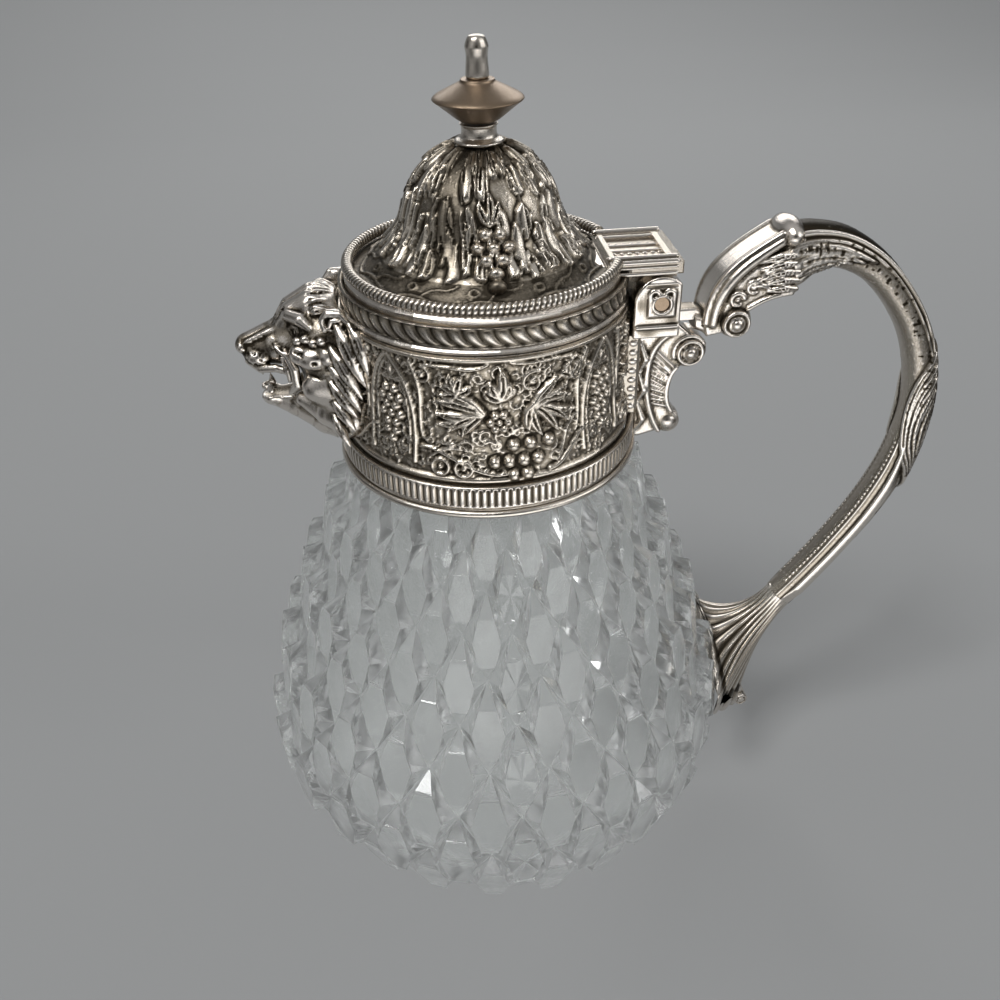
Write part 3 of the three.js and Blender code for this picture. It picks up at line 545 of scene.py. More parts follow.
def metal_material(name, bright, worn, dark, roughness):
    """Plated metal: darker where the cavity attribute is high, which holds tarnish in the hollows and
    painted shade in places; patches and fine scratches.
    """
    made, tree, shader = material(name)
    links = tree.links
    shader.inputs["Metallic"].default_value = 1
    cavity = tree.nodes.new("ShaderNodeAttribute")
    cavity.attribute_name = "cavity"
    # how dark the metal is: noise plus the cavity attribute, which holds tarnish and painted shade
    tarnish_and_shade = tree.nodes.new("ShaderNodeMath")
    tarnish_and_shade.operation = "MULTIPLY_ADD"
    tarnish_and_shade.inputs[1].default_value = 0.45
    links.new(noise(tree, 110, 6).outputs["Fac"], tarnish_and_shade.inputs[0])
    links.new(cavity.outputs["Fac"], tarnish_and_shade.inputs[2])
    ramp = tree.nodes.new("ShaderNodeValToRGB")
    ramp.color_ramp.elements[0].position = 0.24
    ramp.color_ramp.elements[0].color = (*bright, 1)
    ramp.color_ramp.elements[1].position = 0.95
    ramp.color_ramp.elements[1].color = (*dark, 1)
    ramp.color_ramp.elements.new(0.5).color = (*worn, 1)
    links.new(tarnish_and_shade.outputs["Value"], ramp.inputs["Fac"])
    links.new(ramp.outputs["Color"], shader.inputs["Base Color"])
    add_roughness(tree, shader, tarnish_and_shade.outputs["Value"],
                  {"From Min": 0.2, "From Max": 1.1, "To Min": roughness, "To Max": roughness + 0.35})
    add_bump(tree, shader, noise(tree, 1100, 4).outputs["Fac"], 0.2, 0.0001)
    return made


def plaster_material():
    made, tree, shader = material("plaster")
    ramp = tree.nodes.new("ShaderNodeValToRGB")
    ramp.color_ramp.elements[0].color = (0.5, 0.47, 0.4, 1)
    ramp.color_ramp.elements[1].color = (0.8, 0.77, 0.7, 1)
    tree.links.new(noise(tree, 400).outputs["Fac"], ramp.inputs["Fac"])
    tree.links.new(ramp.outputs["Color"], shader.inputs["Base Color"])
    shader.inputs["Roughness"].default_value = 0.9
    return made


# the darkest colour, for tarnish and for painted shade
SILVER_TARNISH_AND_SHADE = (0.035, 0.028, 0.019)
DARK_SILVER = metal_material("dark_silver", (0.5, 0.45, 0.385), (0.26, 0.225, 0.175), SILVER_TARNISH_AND_SHADE, 0.2)
MATERIALS = {
    "silver": metal_material("silver", (0.8, 0.745, 0.68), (0.36, 0.315, 0.255), SILVER_TARNISH_AND_SHADE, 0.12),
    "aged_silver": metal_material("aged_silver", (0.68, 0.62, 0.54), (0.3, 0.26, 0.205),
                                  (0.04, 0.033, 0.024), 0.2),
    "worn_brass": metal_material("worn_brass", (0.34, 0.255, 0.18), (0.19, 0.14, 0.095),
                                 (0.05, 0.035, 0.022), 0.26),
    "clear_glass": glass_material(),
    "plaster": plaster_material(),
}


# The glass

BOSSES_AROUND = 24
BOSS_ROWS = 10
FIRST_ROW, LAST_ROW = 5.7, 88.7
ROW_STRETCH = 0.28  # the rows draw closer towards the neck
GROOVE_DEPTH = 2.6
BOSS_STAGGER = 2  # every other boss at the sides stands lower, for the wide scallops of the outline
SEAM_COLUMN = 36  # the uneven bosses over the mould's seam, in half cells
FACE_SLOPE = 0.45  # of the body's own slope above the belly, so that the faces stand like scales
FACE_SLOPE_BELOW = 0.95  # of the body's own slope below the belly
BOSS_HALF = (0.54, 0.64)  # of the half cell: across and up
BOSS_TIP = 0.3  # of the half cell
BOSS_RISE = 0.06  # the face sits a little high in its cell
FOOT_RADIUS = 33.5
BELLY = (47.45, 31)  # radius and height
FIRST_ROW_SINK = 0.6  # the lowest bosses lie closer to the body
SHOULDER = (COLLAR_RADIUS + COLLAR_FLARE + 0.9, COLLAR_BOTTOM - 0.3)
GLASS_WALL = 3
GLASS_FLOOR = 6.5
NECK_RADIUS = 21.3
NECK_TOP = box_mm("glass_body")[1][2]
EDGE_STEPS = 4
GLASS_COLUMNS = 2 * BOSSES_AROUND * EDGE_STEPS


def body_radius(z):
    """The radius of the glass over its bosses."""
    if z >= BELLY[1]:
        t = min(1, (z - BELLY[1]) / (SHOULDER[1] - BELLY[1]))
        return BELLY[0] - (BELLY[0] - SHOULDER[0]) * t**1.25
    return BELLY[0] - (BELLY[0] - FOOT_RADIUS) * ((BELLY[1] - z) / BELLY[1]) ** 2.25


def row_height(row):
    t = row / BOSS_ROWS
    return FIRST_ROW + (LAST_ROW - FIRST_ROW) * t * (1 + ROW_STRETCH * (1 - t))


def glass_point(column, row, height=0, boss=None):
    """A point on the lattice, in half cells: height runs from the groove to the flat face of a boss."""
    angle = TAU * column / (2 * BOSSES_AROUND)
    z = row_height(row)
    r = body_radius(z) - GROOVE_DEPTH * min(1, 0.35 + z / 32)
    if boss:
        centre = TAU * boss[0] / (2 * BOSSES_AROUND)
        middle = row_height(boss[1])
        slope = (body_radius(middle + 1) - body_radius(middle - 1)) / 2
        share = FACE_SLOPE if slope < 0 else FACE_SLOPE_BELOW
        lean = -BOSS_STAGGER * max(0, math.cos(centre) * (-1) ** boss[0]) ** 3
        if boss[0] == SEAM_COLUMN:
            lean += rng.uniform(-0.8, 0)
        if boss[1] == 1:
            lean -= FIRST_ROW_SINK
        face = min(BELLY[0], body_radius(middle) + share * slope * (z - middle) + lean)
        r += (face / math.cos(angle - centre) - r) * height
    return (r * math.cos(angle), r * math.sin(angle), z)


# each loop around a boss: how far from the groove (0) to the face (1), and its height
BOSS_LOOPS = [(0, 0), (0.1, 0.03), (0.86, 0.84), (0.93, 0.9), (0.97, 0.97), (1.03, 1)]


def boss_loop(i, row, share):
    w, h = BOSS_HALF
    groove = [(-1, 0), (0, -1), (0, -1), (1, 0), (0, 1), (0, 1)]
    low, high = BOSS_RISE - h, BOSS_RISE + h
    face = [(-w, BOSS_RISE), (-BOSS_TIP, low), (BOSS_TIP, low),
            (w, BOSS_RISE), (BOSS_TIP, high), (-BOSS_TIP, high)]
    corners = [(a[0] + (b[0] - a[0]) * share, a[1] + (b[1] - a[1]) * share) for a, b in zip(groove, face)]
    for a, b in zip(corners, corners[1:] + corners[:1]):
        for s in range(EDGE_STEPS):
            t = s / EDGE_STEPS
            yield i + a[0] + (b[0] - a[0]) * t, row + a[1] + (b[1] - a[1]) * t


def glass_ring(r, z):
    angles = TAU * np.arange(GLASS_COLUMNS) / GLASS_COLUMNS
    return [(r * math.cos(a), r * math.sin(a), z) for a in angles]


def add_rings(points, faces, rings, cap):
    """Adds rings of equal length and the quads between them, closed by a fan to a last point."""
    start = len(points)
    for ring in rings:
        points += ring
    faces += (grid_faces(len(rings), GLASS_COLUMNS) + start).tolist()
    hub = len(points)
    points.append(cap)
    last = hub - GLASS_COLUMNS
    faces += [(last + k, last + (k + 1) % GLASS_COLUMNS, hub) for k in range(GLASS_COLUMNS)]


def glass_body():
    points, faces = [], []
    columns = 2 * BOSSES_AROUND
    around = 6 * EDGE_STEPS
    for row in range(1, BOSS_ROWS):
        for i in range(row % 2, columns, 2):
            start = len(points)
            for share, height in BOSS_LOOPS:
                points += [glass_point(c, r, height, (i, row)) for c, r in boss_loop(i, row, share)]
            points.append(glass_point(i, row + BOSS_RISE, 1, (i, row)))
            hub = len(points) - 1
            faces += (grid_faces(len(BOSS_LOOPS), around) + start).tolist()
            last = hub - around
            faces += [(last + k, last + (k + 1) % around, hub) for k in range(around)]
    # half cells along the foot and the shoulder
    for row, toward in ((0, 1), (BOSS_ROWS, -1)):
        for i in range(row % 2, columns, 2):
            start = len(points)
            for s in range(2 * EDGE_STEPS + 1):
                t = s / EDGE_STEPS
                points.append(glass_point(i - 1 + t, row + toward * (1 - abs(1 - t))))
                points.append(glass_point(i - 1 + t, row))
            faces += [(start + 2 * s, start + 2 * s + 1, start + 2 * s + 3, start + 2 * s + 2)
                      for s in range(2 * EDGE_STEPS)]
    foot = [[glass_point(k / EDGE_STEPS, 0) for k in range(GLASS_COLUMNS)]]
    foot += [glass_ring(FOOT_RADIUS - d, z) for d, z in ((1.2, 1.2), (2, 0.2), (3, 0))]
    add_rings(points, faces, foot, (0, 0, 0))
    top = SHOULDER[1] - 3 * GLASS_WALL
    low = GLASS_FLOOR + 4
    inner = [(NECK_RADIUS, SHOULDER[1] + 0.3), (NECK_RADIUS, NECK_TOP - 0.6), (NECK_RADIUS - 0.6, NECK_TOP),
             (NECK_RADIUS - 2.4, NECK_TOP), (NECK_RADIUS - 3, NECK_TOP - 0.6),
             (NECK_RADIUS - 3, SHOULDER[1] - GLASS_WALL)]
    inner += [(body_radius(z) - GROOVE_DEPTH - GLASS_WALL, z) for z in np.linspace(top, low, 14)]
    corner = inner[-1][0]
    inner += [(corner - 4 * (1 - math.cos(a)), low - 4 * math.sin(a))
              for a in np.linspace(0.4, math.pi / 2, 4)]
    inner.append((12, GLASS_FLOOR))
    rings = [[glass_point(k / EDGE_STEPS, BOSS_ROWS) for k in range(GLASS_COLUMNS)]]
    rings += [glass_ring(r, z) for r, z in inner]
    add_rings(points, faces, rings, (0, 0, GLASS_FLOOR))
    piece = mesh_object("pitcher_glass", points, faces, "pitcher", ["glass_body"], "clear_glass")
    for face in piece.data.polygons:
        x, y, z = face.center / MM
        face.use_smooth = z < 1.5 or math.hypot(x, y) < body_radius(z) - GROOVE_DEPTH - 0.5
    return piece


glass = glass_body()
glass.visible_shadow = False
glass.visible_diffuse = False


# The collar

RELIEF_CELL = 0.22
RELIEF_LOW, RELIEF_HIGH = BAND_TOP + 0.3, COLLAR_TOP - 0.25


def collar_radius(z):
    t = (COLLAR_TOP - z) / (COLLAR_TOP - COLLAR_BOTTOM)
    return COLLAR_RADIUS + COLLAR_FLARE * t * t - COLLAR_WAIST * np.sin(np.pi * np.minimum(1, t / 0.8))


def arch_panel(relief, u, half, mirror):
    """A side panel: a pointed arch of twin mouldings round a hanging cluster of grapes."""
    foot, top = RELIEF_LOW + 2.5, RELIEF_HIGH - 1
    for inset, width, height in ((0, 0.42, 0.75), (1.1, 0.25, 0.5)):
        side = half - inset
        for hand in (-1, 1):
            relief.stroke(bezier((u + hand * side, foot + inset), (u + hand * side * 1.15, foot + 9),
                                 (u + hand * side * 0.9, top - 4), (u + hand * 0.3, top - inset)),
                          (width, width), height)
    relief.grapes(u, top - 6.2, (2, 3, 2, 3, 2, 2, 1), 0.85, 0.95)
    relief.leaf(u - 0.6 * mirror, top - 4.2, 2.6, math.pi / 2, 0.7)
    relief.scroll(u + 0.45 * half * mirror, foot + 1.7, 1.5, 1.4, 0, 0.3, 0.6, mirror)
    relief.scroll(u - 0.5 * half * mirror, foot + 1.9, 1.2, 1.2, 2, 0.28, 0.55, -mirror)


def vine_panel(relief, u):
    """The front panel: broad vine leaves over a bunch of grapes, with tendrils and scrolls."""
    low, high = RELIEF_LOW, RELIEF_HIGH
    for du, dv, tips, girth, height in (
            (-2.6, 12.4, ((141, 6.4), (156, 7.8), (168, 8.4), (181, 8), (195, 8.2), (210, 6.8), (228, 5.4)),
             1.15, 1.25),
            (4.6, 13.4, ((46, 5.8), (20, 5.6), (1, 6.8), (-18, 8), (-35, 7.8), (-53, 7.2), (-74, 6),
                         (-96, 4.6)),
             1.05, 1.25),
            (-6.8, 15.6, ((30, 2.6), (75, 3.2), (111, 3.4), (150, 3), (185, 2.4)), 0.9, 1.1),
            (-0.2, 14.6, ((35, 3), (62, 3.2), (90, 5.4), (117, 3.2), (145, 3)), 1.2, 1.3),
            (11.4, 16.4, ((10, 2.4), (60, 3.2), (105, 2.8), (150, 2.2)), 0.9, 0.95)):
        relief.fronds(u + du, low + dv, tips, girth, height)
    relief.scroll(u + 4.9, low + 17.2, 1.9, 1.5, 1, 0.34, 0.8)
    for k in range(6):
        relief.knob(u - 0.4 + 1.35 * math.cos(1.05 * k), low + 10.6 + 1.35 * math.sin(1.05 * k), 0.75, 1.05)
    relief.knob(u - 0.4, low + 10.6, 0.6, 1.2)
    for v, places in ((6.4, (1.7, 4.4, 7.5)), (3.6, (-1.2, 1, 3.3, 5.6)), (1.2, (1.7, 3.8))):
        for du in places:
            relief.stroke(circle(u + du, low + v, 1.35, count=13), (0.3, 0.3), 0.5, sink=True)
            relief.knob(u + du, low + v, 1.08, 1.3)
            relief.knob(u + du - 0.2, low + v + 0.3, 0.35, 1.5)
    for du, dv in ((-9.8, 2.6), (-6.1, 2.5)):
        relief.ring(u + du, low + dv, 1.35, 0.34, 0.85)
        relief.knob(u + du, low + dv, 0.55, 0.9)
    # stems and tendrils
    for datum, places, widths, height in (
            (low, ((-13, 5.6), (-10, 7), (-4, 0.4), (0.5, 1.5)), (0.4, 0.3), 0.8),
            (low, ((7.5, 1.2), (11, 1.4), (12.2, 6.5), (15, 7)), (0.4, 0.3), 0.8),
            (low, ((9, 3.6), (11, 5), (9.5, 7.5), (12.6, 9.5)), (0.3, 0.2), 0.7),
            (high, ((-12.5, -1.8), (-8, -0.6), (-5, -3), (-2, -0.9)), (0.3, 0.25), 0.6),
            (high, ((1.5, -0.8), (5, -1.8), (9, -0.4), (13.5, -2.4)), (0.3, 0.25), 0.6)):
        relief.stroke(bezier(*((u + du, datum + dv) for du, dv in places)), widths, height)
    for hand in (-1, 1):
        relief.scroll(u + hand * 12.4, high - 3.4, 1.6, 1.3, 0.5 * math.pi, 0.3, 0.7, hand)
        relief.stroke(bezier((u + hand * 14.2, high - 1.2), (u + hand * 11.6, high - 7),
                             (u + hand * 13.8, low + 11), (u + hand * 12.6, low + 7.5)), (0.45, 0.3), 0.75)
    for k in range(5):
        relief.stroke(bezier((u - 12 + 0.9 * k, low + 3.5 + 0.7 * k), (u - 11 + k, low + 5 + 0.6 * k),
                             (u - 9 + k, low + 5.5), (u - 7.4 + 0.8 * k, low + 6.6 - 0.4 * k)),
                      (0.26, 0.12), 0.55)


def collar():
    mean_radius = float(collar_radius((RELIEF_LOW + RELIEF_HIGH) / 2))
    relief = Relief(TAU * mean_radius, RELIEF_LOW, RELIEF_HIGH, RELIEF_CELL)
    panel_pitch = TAU * mean_radius / 4
    relief.stipple(5200, 0.23, 0.2)
    relief.curls(900, 1.1, 0.42, RELIEF_LOW + 1.2, RELIEF_HIGH - 0.8)
    for quarter in range(4):
        # the spout takes the quarter at -X and the strap the one at +X, so leaves fill those sides
        vine_panel(relief, quarter * panel_pitch)
        arch_panel(relief, (quarter + 0.5) * panel_pitch, 4.4, -1 if quarter % 2 else 1)
    relief.stroke([(-relief.around / 2, RELIEF_HIGH - 0.3), (relief.around / 2, RELIEF_HIGH - 0.3)],
                  (0.5, 0.5), 0.45)
    relief.stroke([(-relief.around / 2, RELIEF_LOW + 0.35), (relief.around / 2, RELIEF_LOW + 0.35)],
                  (0.6, 0.6), 0.6)

    def base(v):
        r = collar_radius(v) + 0.06
        return r, v, np.ones_like(v), np.zeros_like(v)

    def drop(angle, z):
        """The way out to the spout."""
        return (np.abs(np.abs(angle) - math.pi) < 0.26) & (np.abs(z - COLLAR_TOP + 8.5) < 6)

    wrap_relief("collar_relief", relief, base, drop, "pitcher", 0.3)


collar()

REEDS = 135


def reed_section(turn):
    ridge = abs(math.sin(math.pi * REEDS * turn)) ** 0.7
    r = BAND_RADIUS - 0.42 * (1 - ridge)
    back = BAND_RADIUS - 1.1
    low, high = BAND_BOTTOM, BAND_TOP
    c = 0.85 * (1 - ridge)
    edge = BAND_RADIUS - 0.1
    return [(back, low, 0.3), (edge - 0.2, low, 0.2), (edge, low + 0.2, 0), (edge, low + 0.42, 0),
            (r - 0.1, low + 0.5, c), (r, low + 0.9, c), (r, high - 0.9, c), (r - 0.1, high - 0.5, c),
            (edge - 0.1, high - 0.42, 0), (edge - 0.15, high - 0.15, 0),
            (edge - 0.5, high, 0.4), (back, high, 0.4)]


def wire_section(turn):
    middle, half = (WIRE_BOTTOM + WIRE_TOP) / 2, (WIRE_TOP - WIRE_BOTTOM) / 2
    return [(WIRE_OUTER - half + half * math.cos(a), middle + half * math.sin(a), 0.1)
            for a in np.linspace(0, TAU, 13)[:-1]]


ring_piece("collar_reeds", 8 * REEDS, reed_section, "pitcher", ["collar_reeded_band"])
ring_piece("collar_wire", 192, wire_section, "pitcher", ["collar_foot_wire"])


# The edge of the lid

ROPE_RIBS = 155
LEAF_STROKES = 62


def rope_section(turn):
    centre = (GADROON_RADIUS - 2.0, ROPE_TOP - 0.95)
    rows = []
    for a in np.linspace(0, TAU, 13)[:-1]:
        rib = abs(math.sin(math.pi * ROPE_RIBS * turn - 1.1 * a)) ** 0.6
        r = 0.98 - 0.2 * (1 - rib)
        rows.append((centre[0] + r * math.cos(a), centre[1] + r * math.sin(a), 0.9 * (1 - rib)))
    return rows


def gadroon_section(turn):
    low, high = GADROON_BOTTOM, GADROON_TOP
    back = GADROON_RADIUS - 1.05
    rows = [(back, low, 0.5), (GADROON_RADIUS - 0.25, low, 0.1)]
    count = 12
    for k in range(count):
        s = (k + 0.5) / count
        # each stroke is a curled leaf, so its edge leans more towards the top
        phase = (LEAF_STROKES * turn + 0.9 * s + 0.25 * math.sin(math.pi * s)) % 1
        belly = math.sin(math.pi * s) ** 0.4
        stroke = belly * max(0.0, math.sin(math.pi * phase) ** 0.6 * (0.55 + 0.45 * phase))
        rows.append((GADROON_RADIUS - 0.72 + 0.72 * stroke, low + (high - low) * s,
                     0.95 * (1 - stroke) ** 1.5))
    rows += [(GADROON_RADIUS - 0.25, high, 0.1), (back, high, 0.5)]
    return rows


ring_piece("lid_rope", 6 * ROPE_RIBS, rope_section, "lid", ["lid_rope_border"], gap=ARM_HALF + 0.3)
ring_piece("lid_gadroons", 14 * LEAF_STROKES, gadroon_section, "lid", ["lid_gadroon_border"])


# The dome

DOME_OUTLINE = rounded([(21.8, DOME_BOTTOM - 0.1), (19.6, DOME_BOTTOM + 0.25), (17.4, DOME_BOTTOM + 2.1),
                        (15, DOME_BOTTOM + 4.3), (13, DOME_BOTTOM + 6.8), (12.25, DOME_BOTTOM + 9.3),
                        (11.6, DOME_BOTTOM + 11.6), (10.3, DOME_BOTTOM + 14.1), (8, DOME_BOTTOM + 16.7),
                        (5, DOME_BOTTOM + 18.4), (3, DOME_BOTTOM + 19)], steps=3, share=0.45)


def dome():
    outline = np.array(DOME_OUTLINE)
    along = np.concatenate([[0], np.cumsum(np.hypot(*np.diff(outline, axis=0).T))])
    reference = 14.0
    top = along[-1]
    relief = Relief(TAU * reference, 0, top, RELIEF_CELL)
    plate_end = 3.0
    relief.stipple(1500, 0.2, 0.1)
    # ragged lappets of bark and leaf hang down the bell, in rows that overlap
    foot = plate_end + 3.2
    rings = ((top - 3.6, 14, 4), (top - 7, 17, 5), (foot + 8.8, 19, 6.5),
             (foot + 5, 21, 6.5), (foot + 2, 25, 3.8))
    for ring, (v, count, long) in enumerate(rings):
        for k in range(count):
            place = k + 0.5 * (ring % 2) + rng.uniform(-0.35, 0.35)
            u = place / count * relief.around - relief.around / 2
            half = relief.around / count / 2
            drip = long * rng.uniform(0.7, 1.25)
            lean = rng.uniform(-1.3, 1.3)
            low = max(foot - 1.2, v - 0.6 * drip)
            path = bezier((u, v + 0.5 * drip), (u + lean, v + 0.2 * drip), (u - lean, v - 0.2 * drip),
                          (u + 0.5 * lean, low))
            relief.stroke(path, (0.2, 0.68 * half, 0.7 * half, 0.16 * half), rng.uniform(0.45, 1.1))
            for share in rng.uniform(-0.6, 0.6, 2):
                relief.stroke(path[2:-1] + (share * half, 0), (0.1, 0.2, 0.12), 0.35, sink=True)
    for _ in range(300):
        u, v = rng.uniform(-0.5, 0.5) * relief.around, rng.uniform(foot, top - 2)
        drip, lean = rng.uniform(1.2, 4), rng.uniform(-0.8, 0.8)
        path = [(u, min(top - 1, v + drip)), (u + 0.6 * lean, v + 0.5 * drip), (u + lean, v)]
        relief.stroke(path, (0.14, 0.28, 0.16), rng.uniform(0.45, 1.0), sink=rng.uniform() < 0.5)
    # thin tendrils on the flat of the plate
    waves = 11
    pitch = relief.around / waves
    for k in range(waves):
        u = k / waves * relief.around - relief.around / 2
        relief.stroke(bezier((u, 1.6), (u + 0.3 * pitch, 4.4), (u + 0.6 * pitch, 1.4), (u + pitch, 1.6)),
                      (0.17, 0.17), 0.34)
        relief.stroke(bezier((u + 0.4 * pitch, 2.6), (u + 0.55 * pitch, 5.6), (u + 0.8 * pitch, 3.4),
                             (u + 0.95 * pitch, 5.4)),
                      (0.17, 0.15), 0.34)
        relief.ring(u + 0.2 * pitch, 4.2, 0.6, 0.16, 0.3)
    # the bunch of grapes on the front
    relief.grapes(0.4, plate_end + 10.4, (2, 3, 2, 1, 1), 1.2, 1.6)
    relief.fronds(0, plate_end + 11.6, ((62, 4), (90, 4.8), (117, 4)), 0.9, 1.2)

    def base(v):
        r = np.interp(v, along, outline[:, 0])
        z = np.interp(v, along, outline[:, 1])
        dr, dz = np.gradient(r, v), np.gradient(z, v)
        size = np.hypot(dr, dz)
        return r, z, dz / size, -dr / size

    # the plate and the top of the bell are made darker, and the band down the bell's left front is painted
    # shade standing for dark reflections
    u, v = relief.u[None, :], relief.v[:, None]
    shade = 0.38 * (v < foot - 0.6) + 0.3 * np.exp(-(((v - top) / 6) ** 2))
    shade = shade + 0.3 * (v > foot) * np.exp(-(((u + 7.5) / 3.4) ** 2))

    def drop(angle, z):
        """The seat of the hinge arm."""
        return (np.abs(angle) < 0.33) & (z < DOME_BOTTOM + 0.9)

    wrap_relief("lid_dome_relief", relief, base, drop, "lid", 0.8, ["lid_dome"], shade)


dome()


# The finial

SAUCER_RISE = SAUCER_TOP - SAUCER_BOTTOM
lathe("finial_collar",
      [(1, NECK_LOW[2]), (3.9, NECK_LOW[2]), (3.9, NECK_LOW[2] + 0.5), (2.8, NECK_LOW[2] + 1),
       (2.75, NECK_HIGH[2] - 0.5), (3.05, NECK_HIGH[2] - 0.2), (3, NECK_HIGH[2]), (1, NECK_HIGH[2])],
      3, 0.35, "finial_neck")
lathe("finial_disc",
      [(r, SAUCER_BOTTOM + t * SAUCER_RISE) for r, t in
       ((1, 0), (2.9, 0), (SAUCER_RADIUS - 0.9, 0.44), (SAUCER_RADIUS, 0.54), (SAUCER_RADIUS - 0.6, 0.62),
        (4.6, 0.78), (2.7, 0.93), (2.6, 1), (1, 1))],
      4, 0.3, "finial_saucer", "worn_brass")
lathe("finial_pin",
      [(1.6, SAUCER_TOP), (1.85, SAUCER_TOP + 0.3), (1.6, SAUCER_TOP + 3), (1.72, SPINDLE_TOP - 2.2),
       (1.85, SPINDLE_TOP - 1.6), (1.3, SPINDLE_TOP - 0.2), (0.4, SPINDLE_TOP)],
      4, 0.4, "finial_spindle")


# The lion's head spout

SPOUT_CELL = 0.24


def lion():
    clay = Sculpt((-44, -17, 89), (-19, 17, 124), SPOUT_CELL)

    def at(reach, side, rise):
        """A place on the camera's side of the head: out from the collar, off the middle, above its top."""
        return (-COLLAR_RADIUS - reach, -side, COLLAR_TOP + rise)

    def bar(places, radii, blend, **more):
        clay.stroke([at(*place) for place in places], radii, blend, **more)

    def lump(place, radii, blend, **more):
        clay.ball(at(*place), radii, blend, **more)

    # skull, forehead, neck and jaw
    lump((2.6, 0, -5.4), (6.6, 9.2, 8.2), 1)
    lump((2, 0, -12), (6, 9.6, 8), 1.5)
    lump((4.0, 2.2, -0.4), (3.4, 3.4, 3.0), 1.2)
    bar([(10.6, 0.5, -3.2), (8.4, 1.2, -0.6), (5.0, 1.4, 1.4)], (1.7, 2.1, 2.0), 1)
    bar([(6.5, 0, -5.7), (11, 0, -6.3), (15.2, 0, -7.2)], (5.0, 3.7, 2.5), 1)
    bar([(9.4, 0, -3.4), (13, 0, -4.2), (16.9, 0, -5.6)], (2.0, 1.6, 1.3), 0.6)
    bar([(10.2, 1.6, -2.7), (13, 1.5, -3.7), (16.4, 1.3, -5.2)], (0.65, 0.55, 0.45), 0.25)
    bar([(13.4, 0, -15.7), (9, 0, -17.2), (3.5, 0, -19.4), (0, 0, -20.6)], (2.1, 3.3, 4.9, 5.4), 0.8)
    bar([(8, 3.2, -15.4), (3.5, 5, -17.0), (0, 6, -18)], (1.6, 3.0, 4), 1)
    lump((13.6, 0, -15.6), (1.9, 2.8, 1.9), 0.6)
    # nose, whisker pads and lips
    lump((17.4, 0, -6.2), (1.2, 2.1, 1.35), 0.35)
    lump((14.6, 1.9, -7.8), (2.1, 1.5, 1.5), 0.4)
    bar([(16.6, 0.7, -8.9), (14.6, 2.6, -9.6), (12, 3.7, -9.2), (10.2, 4.2, -9.7)], (0.75, 0.8, 0.75, 0.6),
        0.3)
    bar([(11.6, 3.6, -5.4), (9.7, 4.6, -6.6), (8.7, 5.2, -9), (8.6, 5.0, -12), (10.0, 4.0, -13.8)],
        (0.5, 0.75, 0.8, 0.85, 0.5), 0.25)
    bar([(10.6, 4.0, -7.4), (9.9, 4.6, -9.4), (9.9, 4.5, -11.4)], (0.4, 0.5, 0.35), 0.2)
    # cheeks and the folds round them
    lump((4.6, 7.0, -6.0), (3.4, 2.7, 2.3), 0.3)
    lump((7.2, 6.4, -5.6), (2.0, 2.0, 1.9), 0.2)
    lump((2.6, 8.2, -5.4), (1.8, 1.9, 1.9), 0.2)
    lump((5.0, 9.6, -6.2), (0.5, 0.5, 0.4), 0.1, carve=True)
    bar([(8.6, 7.6, -4.4), (7.0, 8.2, -4.9), (6.4, 8.6, -6.0)], (0.2, 0.35, 0.2), 0.1, carve=True)
    bar([(7.6, 6.6, -9.2), (4.4, 8.6, -9.2), (1.8, 9.6, -7.4)], (0.5, 0.6, 0.4), 0.3, carve=True)
    lump((4.4, 6.8, -11.8), (3.4, 2.3, 2.8), 0.8)
    # eyes under heavy brows
    lump((7.6, 4.4, -2.4), (1.9, 1.5, 1.2), 0.4, carve=True)
    lump((6.8, 4.4, -2.5), 1.25, 0.1)
    lump((7.8, 5.0, -2.5), 0.35, 0.1, carve=True)
    bar([(8.8, 2.9, -2.5), (7.8, 4.4, -1.4), (6.0, 5.7, -1.9), (5.3, 6.3, -2.8)], (0.35, 0.5, 0.5, 0.3),
        0.12)
    bar([(8.6, 3.2, -2.9), (7.4, 4.8, -3.7), (5.8, 5.8, -3.4)], (0.3, 0.42, 0.3), 0.12)
    bar([(9.6, 1.4, -1.3), (8.6, 3.2, -0.2), (6.6, 5.2, -0.2), (5.0, 6.6, -1.3)], (0.6, 1.1, 1.15, 0.7),
        0.3)
    for k in range(4):
        lump((7.4 - 1.3 * k, 6.7 + 0.6 * k, -3.2 + 0.5 * (k % 2)), (0.85, 0.8, 0.75), 0.12)
    # mouth: the pouring way, teeth, nostrils and whisker roots
    bar([(20, 0, -12.9), (10, 0, -13.0), (3.5, 0, -10.8), (-6, 0, -8)], (3.0, 2.8, 3.1, 3.6), 0.2,
        carve=True, flat=((0, 1, 0), 0.76))
    bar([(14.6, 1.5, -9.3), (14.6, 1.6, -11.2)], (0.7, 0.15), 0.15)
    bar([(13.6, 1.7, -14.4), (13.8, 1.6, -12.7)], (0.65, 0.15), 0.15)
    for k in range(3):
        lump((15.0 - 0.5 * k, 0.3 + 0.5 * k, -14.2), (0.4, 0.3, 0.5), 0.1)
    bar([(18.8, 0.8, -6.4), (17.6, 1.25, -6.8)], (0.4, 0.5), 0.15, carve=True)
    bar([(18.4, 0, -7.2), (17, 0, -9.6)], (0.25, 0.25), 0.15, carve=True)
    for row, col in itertools.product(range(3), range(4)):
        lump((16.2 - 0.95 * col, 2.1 + 0.5 * col + 0.2 * row, -7.0 - 0.8 * row), 0.28, 0.08, carve=True)
    for k in range(3):
        bar([(11.9 - 0.1 * k, 0.3 + 0.7 * k, -2.2 + 0.1 * k), (9.4, 0.5 + 0.8 * k, 0.6)], (0.2, 0.28), 0.12,
            carve=True)
    for k in range(3):
        bar([(12.2 - 1.2 * k, 3.2 + 0.45 * k, -4.4), (11.5 - 1.2 * k, 4.0 + 0.4 * k, -6.0),
             (11.8 - 1.2 * k, 4.0 + 0.4 * k, -7.6)], (0.15, 0.32, 0.15), 0.12, carve=True)
